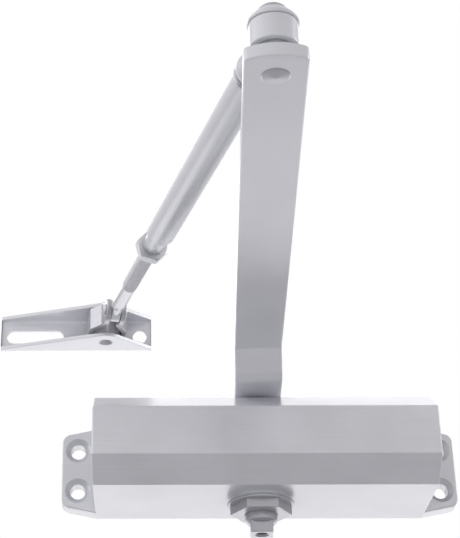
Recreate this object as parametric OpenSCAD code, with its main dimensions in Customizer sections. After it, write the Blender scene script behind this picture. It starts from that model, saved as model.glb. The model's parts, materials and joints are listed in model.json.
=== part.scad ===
// Surface-mounted hydraulic door closer with a folding double-lever arm.
// X runs along the body, Y points into the door, Z is up. Sizes are millimetres.
// The origin is the centre of the four mounting holes, on the face that meets the door.
// The arm is drawn as it stands with the door shut: main arm square to the door,
// forearm folded back to its foot bracket, whose back plate lies in the door's plane.

/* [Body] */
// Distance between the mounting holes along the body
hole_span_x = 165; // [162:0.5:170]
// Distance between the mounting holes up the body
hole_span_z = 19; // [16:0.5:21]
// Diameter of a mounting hole
hole_d = 7; // [6:0.25:8]
// Diameter of a mounting hole's countersink at the face of the ear
countersink_d = 11.5; // [10:0.25:12.5]
// Length of the body between its end faces
body_l = 149; // [145:0.5:150]
// Height of the body
body_h = 40; // [38:0.5:43]
// Depth of the body, from the door to its front face
body_d = 61.5; // [58:0.5:66]
// Height of the flat front face between the two long chamfers
front_h = 21.6; // [18:0.2:26]
// Depth of each long chamfer
chamfer_d = 13.5; // [10:0.5:15]
// Bevel round each end face
end_bevel = 0.8; // [0.4:0.1:1.4]
// Thickness of a mounting ear
ear_t = 9; // [7:0.5:10]
// Height of an ear at its outer end
ear_h = 33.4; // [31:0.2:36]
// Distance from a mounting hole to the outer end of its ear
ear_lip = 7.3; // [6.6:0.1:9]
// Radius of an ear's two outer corners
ear_corner_r = 4; // [2:0.5:5]

/* [Cylinder] */
// Bore of the oil cylinder
bore_d = 30; // [28:0.5:31]
// Distance from the door to the axis of the cylinder
bore_depth = 30; // [29:0.5:32]
// Length of a threaded end plug
plug_l = 12; // [10:0.5:14]
// Width across flats of the socket in an end plug
plug_socket_af = 10; // [8:0.5:14]
// Depth of the socket in an end plug
plug_socket_depth = 6; // [4:0.5:8]
// Thickness of the solid head between the spring and the pinion slot
piston_head = 12; // [10:0.5:14]
// Thickness of the web that holds the check valve
piston_web = 8; // [7:0.5:10]
// Wall of the hollow piston skirt
skirt_wall = 4; // [3:0.5:5]
// Diameter of the check valve's ball
check_ball_d = 5; // [4:0.5:6]
// Section of the rubber ring on an end plug
plug_ring_d = 2; // [1.6:0.1:2.4]

/* [Main spring] */
// Outer diameter of the spring
spring_d = 26; // [24:0.5:27]
// Wire diameter of the spring
wire_d = 3.4; // [2.8:0.1:3.6]
// Number of turns
spring_turns = 6.5; // [5:0.5:6.5]
// Depth of the cup in the piston that holds the spring
cup_depth = 5; // [3:0.5:6]

/* [Pinion] */
// Distance of the pinion from the middle of the body, along X
pinion_x = -1; // [-4:0.5:4]
// Distance from the door to the axis of the pinion
pinion_depth = 28; // [27:0.5:30]
// Number of teeth
teeth = 10; // [10:1:11]
// Pitch radius
pitch_r = 6.5; // [6.4:0.1:6.8]
// Height of the toothed length
tooth_zone = 24; // [20:1:26]
// Diameter of the shaft
shaft_d = 14; // [13.6:0.1:14.4]
// Width across the flats of the square ends
square_w = 9.8; // [9:0.1:10.2]
// Length of the lower square end
square_l = 4.6; // [4:0.2:8]
// Length of round shaft showing below the seal nut
collar_l = 4.2; // [3:0.2:6]
// Chamfer where the round shaft steps down to the square
collar_bevel = 1.1; // [0.5:0.1:1.6]
// Core diameter of the threaded holes in both ends
thread_core_d = 5; // [4.6:0.1:5.4]
// Depth of the threaded holes in both ends
thread_depth = 12; // [10:0.5:14]
// Diameter of the countersink at the mouth of the lower threaded hole
end_hole_d = 6.7; // [6:0.1:7.4]
// Angle that the pinion turns through as the door opens
swing = 165; // [150:1:170]

/* [Bearings and seals] */
// Diameter of the seats for the bearings and seals
seat_d = 19; // [18.5:0.1:20]
// Length of a bearing
bearing_l = 2.3; // [2:0.1:2.6]
// Height of a rubber seal
seal_h = 1.2; // [1:0.1:1.4]
// Diameter of the boss under the body
boss_d = 26; // [24:0.5:28]
// Height of the boss under the body
boss_h = 2; // [1.6:0.1:3]
// Diameter of the washer under the lower seal nut
rim_d = 29.6; // [27:0.2:32]
// Thickness of the washer under the lower seal nut
rim_t = 1.2; // [0.8:0.1:1.6]
// Width across flats of the lower seal nut
nut_af = 23.5; // [22.5:0.1:25]
// Height of the lower seal nut
nut_h = 4; // [3:0.2:6]
// Height of the round upper seal nut
ring_nut_h = 1.6; // [1.2:0.1:2]

/* [Valves] */
// Diameter of a valve screw
valve_d = 6; // [5:0.25:6.5]
// Length of a valve screw
valve_l = 16; // [14:1:20]
// Distance between the two valve screws up the end face
valve_span = 25; // [22:0.5:26]

/* [Main arm] */
// Distance from the pinion to the elbow
arm_l = 250.4; // [220:0.2:280]
// Angle of the arm from square to the door, clockwise from above
arm_lean = 2.15; // [0:0.05:6]
// Width of the arm
arm_w = 20.5; // [18:0.1:24]
// Thickness of the arm
arm_t = 5; // [4:0.1:5.5]
// Gap between the top of the body and the arm
arm_gap = 2.6; // [2.2:0.1:4]
// Height of the step in the arm
arm_rise = 12.3; // [9:0.1:16]
// Slope of the step
rise_angle = 62; // [50:1:75]
// Inner radius of the two bends in the step
bend_r = 1.2; // [0.8:0.1:2]
// Distance from the pinion to the upper crease of the step
crease_at = 40.3; // [38:0.1:50]
// Length of the arm beyond the elbow
arm_tip = 11.8; // [10.5:0.1:14]
// Radius of the shallow curve across the arm's end
tip_curve_r = 20; // [16:0.5:40]
// Radius of the arm's two end corners
tip_corner_r = 2.4; // [1:0.1:4]

/* [Elbow] */
// Diameter of the elbow stud
stud_d = 8; // [7.4:0.1:8.4]
// Diameter of the stud in the arm's counterbore
rivet_d = 8.8; // [8.4:0.1:9.2]
// Depth of the counterbore
rivet_seat = 2; // [1.6:0.1:2.4]
// Diameter of the closed rivet head under the arm
rivet_head_d = 9.6; // [9.4:0.1:10.6]
// Height of the closed rivet head
rivet_head_h = 0.8; // [0.4:0.1:1.2]
// Diameter of the spacer between the arm and the hub
spacer_d = 12; // [11:0.5:14]
// Height of the spacer
spacer_h = 5; // [4:0.1:7]
// Diameter of the forearm's hub
hub_d = 16; // [15:0.1:18]
// Height of the hub
hub_h = 9; // [8.5:0.1:11]
// Wall of the bush in the hub
elbow_bush_wall = 1.2; // [0.8:0.1:1.6]
// Diameter of the cap over the hub
cap_d = 16.8; // [16:0.1:19]
// Height of the cap
cap_h = 5; // [4:0.1:6]
// Diameter of the cap's flat top
cap_top_d = 9.8; // [9.6:0.1:12]
// Diameter of the domed screw head on the cap
dome_d = 9.6; // [8:0.1:10]
// Height of the domed screw head
dome_h = 2.9; // [2:0.1:3.6]
// Width across flats of the socket in the domed screw
cap_socket_af = 3; // [2.5:0.5:4]
// Depth of the socket in the domed screw
cap_socket_depth = 1.8; // [1.4:0.1:2]

/* [Forearm] */
// Diameter of the neck between the hub and the shoulder
neck_d = 8; // [7:0.1:8.4]
// Distance from the elbow axis to the start of the tube
tube_from = 24.9; // [24:0.1:32]
// Diameter of the bevelled shoulder that the tube butts against
shoulder_d = 13; // [11.4:0.1:14]
// Length of the shoulder
shoulder_l = 7; // [4:0.1:8]
// Width of the ring on the shoulder that the tube's end seats on
shoulder_seat = 0.5; // [0.3:0.1:0.8]
// Outer diameter of the tube
tube_d = 12.3; // [11.6:0.1:13]
// Wall of the tube
tube_wall = 1.8; // [1.2:0.1:2]
// Length of the tube
tube_l = 133.5; // [120:0.5:140]
// Length of the stem inside the tube's elbow end
stem_l = 18; // [12:1:24]
// Diameter of the threaded bush where it stands out of the tube
bush_d = 8.9; // [8.6:0.1:9.4]
// Length of the bush that stands out of the tube
bush_out = 13.9; // [8:0.1:16]
// Length of the bush inside the tube
bush_in = 16; // [12:1:24]
// Diameter of the adjusting thread
rod_d = 6.75; // [6.4:0.05:7.2]
// Length of the rod's screwed end
screwed_l = 90; // [80:1:100]
// Width across flats of the lock nut
lock_af = 12.2; // [10:0.1:13]
// Thickness of the lock nut
lock_t = 4.5; // [3.5:0.1:6]
// Diameter of the plain shank
shank_d = 6.4; // [5.4:0.1:6.4]
// Length of the plain shank, from the thread to the eye's pin
shank_l = 29.6; // [24:0.1:36]
// Radius of the rod's eye
eye_r = 5; // [4:0.1:5.4]
// Thickness of the rod's eye
eye_t = 4.4; // [3.8:0.1:4.8]

/* [Foot bracket] */
// Distance from the pinion to the bracket's pivot, along X
shoe_reach = 69.4; // [50:0.2:90]
// Height of the bracket's middle above the middle of the body
shoe_z = 71.4; // [66:0.1:78]
// Distance from the bracket's back to its pivot
pivot_depth = 11.5; // [11:0.1:13]
// Length of the bracket from its pivot to the slotted end
shoe_left = 50.7; // [46:0.1:60]
// Length of the bracket from its pivot to the round-hole end
shoe_right = 21.6; // [20:0.1:28]
// Height of the bracket over both flanges
shoe_h = 17.3; // [16.6:0.1:19]
// Sheet thickness of the bracket
shoe_t = 1.8; // [1.5:0.1:2]
// Outer radius of the bracket's two long bends
shoe_bend_r = 2.8; // [2:0.1:3.4]
// Radius of the flanges round the pivot
apex_r = 7.9; // [6:0.1:8.4]
// Depth of both flanges at the ends of the bracket
flange_end = 3.4; // [3:0.1:5]
// How far the slot and the round hole lie below the middle of the bracket
fixing_drop = 1.4; // [0:0.1:2]
// Width of the fixing slot
slot_w = 6.6; // [5.5:0.1:7.5]
// Length of the fixing slot
slot_l = 27.3; // [20:0.1:30]
// Distance from the pivot to the middle of the slot
slot_at = 34.3; // [31:0.1:36]
// Diameter of the round fixing hole
shoe_hole_d = 6.8; // [5.5:0.1:7.5]
// Distance from the pivot to the round fixing hole
shoe_hole_at = 16.1; // [14.6:0.1:17]
// Diameter of the pivot pin
pivot_d = 6.4; // [5.6:0.1:6.8]
// Width of the rim round the dimple in the pin's lower end
pivot_rim = 0.4; // [0.3:0.1:1]
// Depth of that dimple
pivot_dimple = 1.5; // [0.8:0.1:2]
// Diameter of the pin's upper head
pivot_head_d = 10; // [9:0.1:12]
// Outer radius of the yoke round the pivot
yoke_r = 8.9; // [8:0.1:9]
// Room above and below the yoke, taken up by its sleeve, both together
yoke_room = 2.7; // [0.8:0.1:3.4]
// Sheet thickness of the yoke
yoke_t = 2.2; // [1.8:0.1:2.4]
// Distance from the pivot to where the yoke's shoulders begin
yoke_square = 6; // [5:0.1:9]
// Distance from the pivot to where the yoke's two ears begin
yoke_neck = 13; // [11.5:0.1:14]
// Distance from the pivot to the cross pin
pin_reach = 21.8; // [20.5:0.1:25]
// How far the cross pin lies below the middle of the bracket
pin_drop = 2.1; // [1:0.1:2.6]
// Radius of the round end of a yoke ear
yoke_ear_r = 5.4; // [4.8:0.1:6]
// Diameter of the cross pin
cross_pin_d = 4; // [3.5:0.1:4.4]
// Diameter of the cross pin's heads
cross_head_d = 6; // [5.2:0.1:7]
// Height of the cross pin's heads
cross_head_h = 0.9; // [0.6:0.1:1.6]

/* [Hidden] */
$fn = 72;

// Clearances: per side where a piece turns or slides, where one is seated, and end play
run_gap = 0.05;
seat_gap = 0.02;
play = 0.15;
eps = 0.01;

// Body and cylinder
half_l = body_l / 2;
half_h = body_h / 2;
ear_end = hole_span_x / 2 + ear_lip;
sink_depth = (countersink_d - hole_d) / 2;
piston_d = bore_d - 2 * run_gap;
plug_face = half_l - plug_l;
groove_w = plug_ring_d + 0.4;
plug_groove_at = plug_l - 3;

// Teeth: involute pinion, straight-sided rack in front of it
pressure = 20;
base_r = pitch_r * cos(pressure);
tooth_add = 1.2;
tip_r = pitch_r + tooth_add;
root_r = pitch_r - 1.35;
rack_add = 0.7;
rack_ded = tooth_add + 0.25;
rack_pitch = 2 * PI * pitch_r / teeth;
backlash = 0.12;
travel = pitch_r * swing * PI / 180;
flank_steps = 6;

// Piston, placed with the door shut
slot_clear = 1.2;
slot_from = pinion_x - tip_r - slot_clear;
slot_to = pinion_x + travel + tip_r + slot_clear;
slot_back = -pinion_depth + tip_r + slot_clear;
rack_line = -pinion_depth - pitch_r;
rack_half = tooth_zone / 2 - 0.5;
piston_left = slot_from - piston_head;
piston_right = plug_face - 0.3;
skirt_from = slot_to + piston_web;
cup_floor = piston_left + cup_depth;
spring_r = (spring_d - wire_d) / 2;
spring_sides = 6;
spring_steps = 16;
spring_flat = wire_d / 2 * sin(60) + eps;
spring_from = -plug_face + spring_flat;
spring_to = cup_floor - spring_flat;

// Stack of heights at the pinion
boss_face = -half_h - boss_h;
rim_face = boss_face - rim_t;
nut_face = rim_face - nut_h;
collar_face = nut_face - collar_l;
tail_face = collar_face - square_l;
arm_z0 = half_h + arm_gap;
arm_z1 = arm_z0 + arm_rise;
arm_top0 = arm_z0 + arm_t;
arm_top1 = arm_z1 + arm_t;
top_seat_floor = bore_d / 2 + 0.2;
bottom_seat_floor = -top_seat_floor;
pinion_hole_d = 2 * tip_r + 0.6;
upper_seal_z = top_seat_floor + bearing_l + seat_gap;
lower_seal_z = bottom_seat_floor - bearing_l - seat_gap;
hex_corner = 1 / cos(30);
washer_d = 16;
washer_t = 1.6;
screw_d = 6;
screw_head_af = 10;
screw_head_h = 4;
square_top = arm_top0 - 0.3;

// Valve screws in the right end face
valve_y = -(ear_t + valve_d / 2 + 1);
valve_sink = 0.6;
valve_ring_d = 1.4;

// Step in the arm
step_len = (arm_rise - (2 * bend_r + arm_t) * (1 - cos(rise_angle))) / sin(rise_angle);
step_run = (2 * bend_r + arm_t) * sin(rise_angle) + step_len * cos(rise_angle);
upper_from = crease_at + bend_r * tan(rise_angle / 2);
lower_to = upper_from - step_run;

// Elbow and forearm
elbow = [
    pinion_x - arm_l * sin(arm_lean),
    -pinion_depth - arm_l * cos(arm_lean)
];
hub_z0 = arm_top1 + spacer_h + play;
hub_z1 = hub_z0 + hub_h;
hub_mid = (hub_z0 + hub_z1) / 2;
cap_z0 = hub_z1 + play;
cap_z1 = cap_z0 + cap_h;
cap_screw_d = 5;
elbow_bore_d = stud_d + 2 * run_gap;
pivot = [pinion_x - shoe_reach, -pivot_depth];
fold = atan2(elbow[0] - pivot[0], pivot[1] - elbow[1]);
pin = [
    pivot[0] + pin_reach * sin(fold),
    pivot[1] - pin_reach * cos(fold),
    shoe_z - pin_drop
];
fore_run = norm([pin[0] - elbow[0], pin[1] - elbow[1]]);
fore_len = norm([fore_run, pin[2] - hub_mid]);
tilt = atan2(pin[2] - hub_mid, fore_run);
tube_to = tube_from + tube_l;
tube_bore_d = tube_d - 2 * tube_wall;
bush_to = tube_to + bush_out;
lock_from = bush_to + play;
thread_bore_d = rod_d + 2 * run_gap;
thread_to = fore_len - shank_l;
thread_from = thread_to - screwed_l;
eye_flat = eye_r + 3.5;

// Bracket and yoke
shoe_z0 = shoe_z - shoe_h / 2;
shoe_z1 = shoe_z + shoe_h / 2;
sleeve_h = shoe_h - 2 * shoe_t - 4 * play;
yoke_h = shoe_h - 2 * shoe_t - yoke_room;
ear_inner = eye_t / 2 + play;
ear_outer = ear_inner + yoke_t;
sleeve_r = yoke_r - yoke_t;
pivot_head_h = 2;
pivot_recess = 0.3;
tube_lip = 0.5;
bush_lip = 0.4;

casting_grey = "#b7b7bc";
arm_grey = "#acacb1";
steel_grey = "#98989f";
plated = "#d3d3d9";
rubber_black = "#2c2c2e";
brass_yellow = "#b8a04a";

function polar(r, a) = [r * cos(a), r * sin(a)];
function roll_angle(r) = sqrt(max(0, pow(r / base_r, 2) - 1));
function involute(r) = roll_angle(r) * 180 / PI - atan(roll_angle(r));
function half_tooth(r) =
    (90 / teeth) - (backlash / 2 / pitch_r) * 180 / PI - involute(r) + involute(pitch_r);
// Touching point of a line from point a on a circle, on the side given by s
function tangent_point(a, c, r, s) =
    let (
        v = a - c,
        far = norm(v),
        aim = atan2(v[1], v[0]),
        open = acos(r / far)
    )
    c + polar(r, aim + s * open);

// Cylinder along X between two places
module rod_x(d, from, to) {
    translate([from, 0, 0])
        rotate([0, 90, 0])
            cylinder(d = d, h = to - from);
}

// Cylinder along Y between two places
module rod_y(d, from, to) {
    translate([0, to, 0])
        rotate([90, 0, 0])
            cylinder(d = d, h = to - from);
}

// Cylinder up Z between two heights
module rod_z(d, from, to) {
    translate([0, 0, from])
        cylinder(d = d, h = to - from);
}

// Turned solid along Y, from an outline of [radius, place] points
module turned_y(outline) {
    rotate([-90, 0, 0])
        rotate_extrude()
            polygon(outline);
}

// Hexagon prism up Z with its corners turned down at one end
module hex_nut(af, from, to, bevelled_below) {
    corner_d = af * hex_corner;
    turn = 0.12 * (to - from);
    low_d = bevelled_below ? af : corner_d;
    high_d = bevelled_below ? corner_d : af;
    intersection() {
        translate([0, 0, from])
            cylinder(d = corner_d, h = to - from, $fn = 6);
        union() {
            translate([0, 0, from])
                cylinder(d1 = low_d, d2 = corner_d, h = turn);
            rod_z(corner_d, from + turn, to - turn);
            translate([0, 0, to - turn])
                cylinder(d1 = corner_d, d2 = high_d, h = turn);
        }
    }
}

module at_pinion() {
    translate([pinion_x, -pinion_depth, 0])
        children();
}

// Turned with the main arm, about the pinion
module along_arm() {
    at_pinion()
        rotate([0, 0, -arm_lean])
            children();
}

module at_elbow() {
    translate([elbow[0], elbow[1], 0])
        children();
}

// Local Y runs from the elbow up the forearm's axis
module along_forearm() {
    translate([elbow[0], elbow[1], hub_mid])
        rotate([tilt, 0, fold])
            children();
}

// Local -Y points from the bracket's pivot to the elbow, and local X along the cross pin
module at_yoke() {
    translate([pivot[0], pivot[1], shoe_z])
        rotate([0, 0, fold])
            children();
}

// Body: chamfered block with an ear at each end, and everything that is bored in it
module body_side() {
    front = front_h / 2;
    polygon([
        [0, -half_h], [0, half_h],
        [-(body_d - chamfer_d), half_h], [-body_d, front],
        [-body_d, -front], [-(body_d - chamfer_d), -half_h]
    ]);
}

module block() {
    reach = body_d + 1;
    intersection() {
        rotate([90, 0, 90])
            translate([0, 0, -half_l])
                linear_extrude(body_l)
                    body_side();
        // End faces bevelled at the front
        linear_extrude(body_h + 2, center = true)
            polygon([
                [-half_l, 0], [-half_l, end_bevel - body_d], [end_bevel - half_l, -reach + 1],
                [half_l - end_bevel, -reach + 1], [half_l, end_bevel - body_d], [half_l, 0]
            ]);
        // End faces bevelled above and below
        translate([0, 1, 0])
            rotate([90, 0, 0])
                linear_extrude(reach + 1)
                    polygon([
                        [-half_l, end_bevel - half_h], [end_bevel - half_l, -half_h],
                        [half_l - end_bevel, -half_h], [half_l, end_bevel - half_h],
                        [half_l, half_h - end_bevel], [half_l - end_bevel, half_h],
                        [end_bevel - half_l, half_h], [-half_l, half_h - end_bevel]
                    ]);
    }
}

// Outline of the right ear, seen from the front: top and bottom edges close in outward
module ear_outline() {
    run = ear_end - half_l;
    fall = half_h - ear_h / 2;
    slope = atan(fall / run);
    cx = ear_end - ear_corner_r;
    cz = ear_h / 2 + ear_corner_r * tan(slope) - ear_corner_r / cos(slope);
    tx = cx + ear_corner_r * sin(slope);
    tz = cz + ear_corner_r * cos(slope);
    inner = half_l - 6;
    polygon([
        [inner, -half_h], [half_l, -half_h], [tx, -tz], [cx, -cz], [ear_end, -cz],
        [ear_end, cz], [cx, cz], [tx, tz], [half_l, half_h], [inner, half_h]
    ]);
    for (s = [-1, 1])
        translate([cx, s * cz])
            circle(ear_corner_r);
}

module ears() {
    for (side = [0, 1])
        mirror([side, 0, 0])
            rotate([90, 0, 0])
                linear_extrude(ear_t)
                    ear_outline();
}

module mounting_holes() {
    for (x = [-1, 1], z = [-1, 1])
        translate([x * hole_span_x / 2, 0, z * hole_span_z / 2]) {
            rod_y(hole_d, -ear_t - 1, 1);
            translate([0, -ear_t - eps, 0])
                rotate([-90, 0, 0])
                    cylinder(d1 = countersink_d, d2 = hole_d, h = sink_depth);
        }
}

module pinion_seats() {
    at_pinion() {
        rod_z(pinion_hole_d, -half_h, half_h);
        rod_z(seat_d, top_seat_floor, half_h + 1);
        rod_z(seat_d, boss_face - 1, bottom_seat_floor);
    }
}

// Bore of each valve screw, with its drillings to the cylinder and along the body
module valve_bores() {
    for (z = [-1, 1])
        translate([0, valve_y, z * valve_span / 2]) {
            rod_x(valve_d + 2 * run_gap, half_l - valve_sink - valve_l - 2, half_l + 1);
            rod_x(valve_d / 2, -plug_face + 6, half_l - valve_sink - valve_l);
            for (x = [-plug_face + 8, half_l - valve_sink - valve_l - 6])
                translate([x, 0, 0])
                    rotate([z * atan2(valve_span / 2, bore_depth + valve_y), 0, 0])
                        rod_y(valve_d / 2, -(bore_depth + valve_y), 0);
        }
}

module body_casting() {
    color(casting_grey)
        difference() {
            union() {
                block();
                ears();
                at_pinion()
                    rod_z(boss_d, boss_face, -half_h + 1);
            }
            translate([0, -bore_depth, 0])
                rod_x(bore_d, -half_l - 1, half_l + 1);
            mounting_holes();
            pinion_seats();
            valve_bores();
        }
}

// Threaded plug that closes one end of the cylinder, drawn for the right end
module end_plug() {
    translate([0, -bore_depth, 0])
        difference() {
            rod_x(bore_d - 2 * seat_gap, plug_face, half_l - end_bevel);
            translate([half_l - end_bevel - plug_socket_depth, 0, 0])
                rotate([0, 90, 0])
                    cylinder(d = plug_socket_af * hex_corner, h = plug_socket_depth + 1, $fn = 6);
            difference() {
                rod_x(bore_d + 1, plug_face + 2, plug_face + 2 + groove_w);
                rod_x(bore_d - 2 * plug_ring_d, plug_face + 1, plug_face + 3 + groove_w);
            }
        }
}

module left_end_plug() {
    color(steel_grey)
        mirror([1, 0, 0])
            end_plug();
}

module right_end_plug() {
    color(steel_grey)
        end_plug();
}

module end_plug_rings() {
    color(rubber_black)
        for (side = [0, 1])
            mirror([side, 0, 0])
                translate([plug_face + 2 + groove_w / 2, -bore_depth, 0])
                    rotate([0, 90, 0])
                        rotate_extrude()
                            translate([bore_d / 2 - plug_ring_d / 2 - seat_gap, 0])
                                circle(d = plug_ring_d - 2 * seat_gap, $fn = 24);
}

// Teeth on the front wall of the piston's slot, in mesh with the pinion
module rack_teeth() {
    lean = tan(pressure);
    half = rack_pitch / 4 - backlash / 2;
    count = floor((slot_to - slot_clear - pinion_x) / rack_pitch);
    translate([0, 0, -rack_half])
        linear_extrude(2 * rack_half)
            for (k = [-2 : count - 1])
                translate([pinion_x + (k + 0.5) * rack_pitch, rack_line])
                    polygon([
                        [-half - rack_ded * lean, -rack_ded - 0.5],
                        [-half - rack_ded * lean, -rack_ded],
                        [-half + rack_add * lean, rack_add],
                        [half - rack_add * lean, rack_add],
                        [half + rack_ded * lean, -rack_ded],
                        [half + rack_ded * lean, -rack_ded - 0.5]
                    ]);
}

module rack_piston() {
    ball_bore_d = check_ball_d + 1;
    color(steel_grey)
        union() {
            difference() {
                translate([0, -bore_depth, 0])
                    rod_x(piston_d, piston_left, piston_right);
                translate([slot_from, rack_line - rack_ded, -bore_d])
                    cube([slot_to - slot_from, slot_back - rack_line + rack_ded, 2 * bore_d]);
                translate([0, -bore_depth, 0]) {
                    rod_x(spring_d + 1, piston_left - 1, cup_floor);
                    rod_x(piston_d - 2 * skirt_wall, skirt_from, piston_right + 1);
                    rod_x(check_ball_d - 1, slot_to - 1, skirt_from + 1);
                    rod_x(ball_bore_d, slot_to + 2, skirt_from + 1);
                }
            }
            rack_teeth();
        }
}

module check_valve_ball() {
    color(steel_grey)
        translate([slot_to + 2 + check_ball_d / 2 + eps, -bore_depth, 0])
            sphere(d = check_ball_d);
}

// Press-in ring that keeps the check valve's ball in its bore
module check_valve_ring() {
    ring_d = check_ball_d + 1 - 2 * seat_gap;
    color(brass_yellow)
        translate([0, -bore_depth, 0])
            difference() {
                rod_x(ring_d, slot_to + 2 + check_ball_d + 0.2, skirt_from);
                rod_x(check_ball_d / 2, slot_to, skirt_from + 1);
            }
}

// One unbroken helix of wire between the left plug and the piston's cup
module main_spring() {
    steps = floor(spring_turns * spring_steps);
    rise = (spring_to - spring_from) / (spring_turns * 2 * PI * spring_r);
    lead = atan(rise);
    points = [
        for (i = [0 : steps])
            let (
                a = i * 360 * spring_turns / steps,
                x = spring_from + (spring_to - spring_from) * i / steps
            )
                for (j = [0 : spring_sides - 1])
                    let (
                        b = j * 360 / spring_sides,
                        out = wire_d / 2 * cos(b),
                        side = wire_d / 2 * sin(b)
                    )
                        [
                            x + side * cos(lead),
                            (spring_r + out) * cos(a) + side * sin(lead) * sin(a),
                            (spring_r + out) * sin(a) - side * sin(lead) * cos(a)
                        ]
    ];
    last = steps * spring_sides;
    faces = concat(
        [for (i = [0 : steps - 1], j = [0 : spring_sides - 1])
            let (a = i * spring_sides, n = (j + 1) % spring_sides)
                [a + j, a + spring_sides + j, a + n]],
        [for (i = [0 : steps - 1], j = [0 : spring_sides - 1])
            let (a = i * spring_sides, n = (j + 1) % spring_sides)
                [a + n, a + spring_sides + j, a + spring_sides + n]],
        [[for (j = [0 : spring_sides - 1]) j]],
        [[for (j = [spring_sides - 1 : -1 : 0]) last + j]]
    );
    color(steel_grey)
        translate([0, -bore_depth, 0])
            polyhedron(points, faces);
}

// Plain bush, up Z from one height to another
module ring_z(outer, inner, from, to) {
    difference() {
        rod_z(outer, from, to);
        rod_z(inner, from - 1, to + 1);
    }
}

module bearing() {
    from = top_seat_floor;
    ring_z(seat_d - 2 * seat_gap, shaft_d + 2 * run_gap, from, from + bearing_l);
}

module upper_bearing() {
    color(brass_yellow)
        at_pinion()
            bearing();
}

module lower_bearing() {
    color(brass_yellow)
        at_pinion()
            mirror([0, 0, 1])
                bearing();
}

// Rubber shaft seal with a relieved middle, standing on the bearing
module shaft_seal() {
    difference() {
        ring_z(seat_d - 2 * seat_gap, shaft_d + 2 * run_gap, 0, seal_h);
        translate([0, 0, seal_h / 2])
            ring_z(seat_d - 1.6, shaft_d + 1.6, 0, seal_h);
    }
}

module upper_seal() {
    color(rubber_black)
        at_pinion()
            translate([0, 0, upper_seal_z])
                shaft_seal();
}

module lower_seal() {
    color(rubber_black)
        at_pinion()
            translate([0, 0, lower_seal_z])
                mirror([0, 0, 1])
                    shaft_seal();
}

// Low round nut on top of the body, with two holes for a pin spanner
module upper_seal_nut() {
    color(steel_grey)
        at_pinion()
            difference() {
                union() {
                    rod_z(boss_d, half_h + seat_gap, half_h + ring_nut_h);
                    rod_z(seat_d - 2 * seat_gap, upper_seal_z + seal_h + seat_gap, half_h + 0.5);
                }
                rod_z(shaft_d + 8 * run_gap, 0, half_h + 5);
                for (side = [-1, 1])
                    translate([side * (seat_d + shaft_d) / 4 * 1.33, 0, 0])
                        rod_z(2, half_h + 0.4, half_h + 5);
            }
}

module lower_seal_washer() {
    color(steel_grey)
        at_pinion()
            ring_z(rim_d, seat_d + 2 * seat_gap, rim_face, boss_face);
}

module lower_seal_nut() {
    color(steel_grey)
        at_pinion()
            difference() {
                union() {
                    translate([0, 0, nut_face])
                        cylinder(d = nut_af * hex_corner, h = rim_face - seat_gap - nut_face, $fn = 6);
                    rod_z(seat_d - 2 * seat_gap, rim_face - 0.5, lower_seal_z - seal_h - seat_gap);
                }
                rod_z(shaft_d + 8 * run_gap, nut_face - 1, 0);
            }
}

// Needle screw with a slotted head, set in the right end face
module valve_screw() {
    out = half_l - valve_sink;
    ring_at = out - valve_l * 0.45;
    difference() {
        union() {
            rod_x(valve_d, out - valve_l + 3, out);
            translate([out - valve_l, 0, 0])
                rotate([0, 90, 0])
                    cylinder(d1 = 1, d2 = valve_d / 2, h = 3 + eps);
        }
        translate([out - 1.2, -valve_d, -0.6])
            cube([3, 2 * valve_d, 1.2]);
        difference() {
            rod_x(valve_d + 1, ring_at, ring_at + valve_ring_d + 0.2);
            rod_x(valve_d - 2 * valve_ring_d, ring_at - 1, ring_at + valve_ring_d + 1);
        }
    }
}

module valve_ring() {
    ring_at = half_l - valve_sink - valve_l * 0.45;
    translate([ring_at + valve_ring_d / 2 + 0.1, 0, 0])
        rotate([0, 90, 0])
            rotate_extrude()
                translate([valve_d / 2 - valve_ring_d / 2, 0])
                    circle(d = valve_ring_d - 2 * seat_gap, $fn = 24);
}

module at_valve(side) {
    translate([0, valve_y, side * valve_span / 2])
        children();
}

module closing_valve_screw() {
    color(brass_yellow)
        at_valve(1)
            valve_screw();
}

module latching_valve_screw() {
    color(brass_yellow)
        at_valve(-1)
            valve_screw();
}

module closing_valve_ring() {
    color(rubber_black)
        at_valve(1)
            valve_ring();
}

module latching_valve_ring() {
    color(rubber_black)
        at_valve(-1)
            valve_ring();
}

// One involute tooth, pointing along +X
module pinion_tooth() {
    out = [
        for (i = [0 : flank_steps])
            let (r = base_r + (tip_r - base_r) * i / flank_steps)
                polar(r, half_tooth(r))
    ];
    back = [
        for (i = [flank_steps : -1 : 0])
            let (r = base_r + (tip_r - base_r) * i / flank_steps)
                polar(r, -half_tooth(r))
    ];
    foot = [polar(root_r - 0.3, -half_tooth(base_r)), polar(root_r - 0.3, half_tooth(base_r))];
    polygon(concat(foot, out, back));
}

module toothed_length() {
    translate([0, 0, -tooth_zone / 2])
        linear_extrude(tooth_zone) {
            circle(root_r);
            for (i = [0 : teeth - 1])
                rotate(-90 + i * 360 / teeth)
                    pinion_tooth();
        }
}

// Square end with its corners turned off
module square_end(from, to) {
    intersection() {
        translate([-square_w / 2, -square_w / 2, from])
            cube([square_w, square_w, to - from]);
        rod_z(shaft_d - 0.8, from, to);
    }
}

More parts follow.
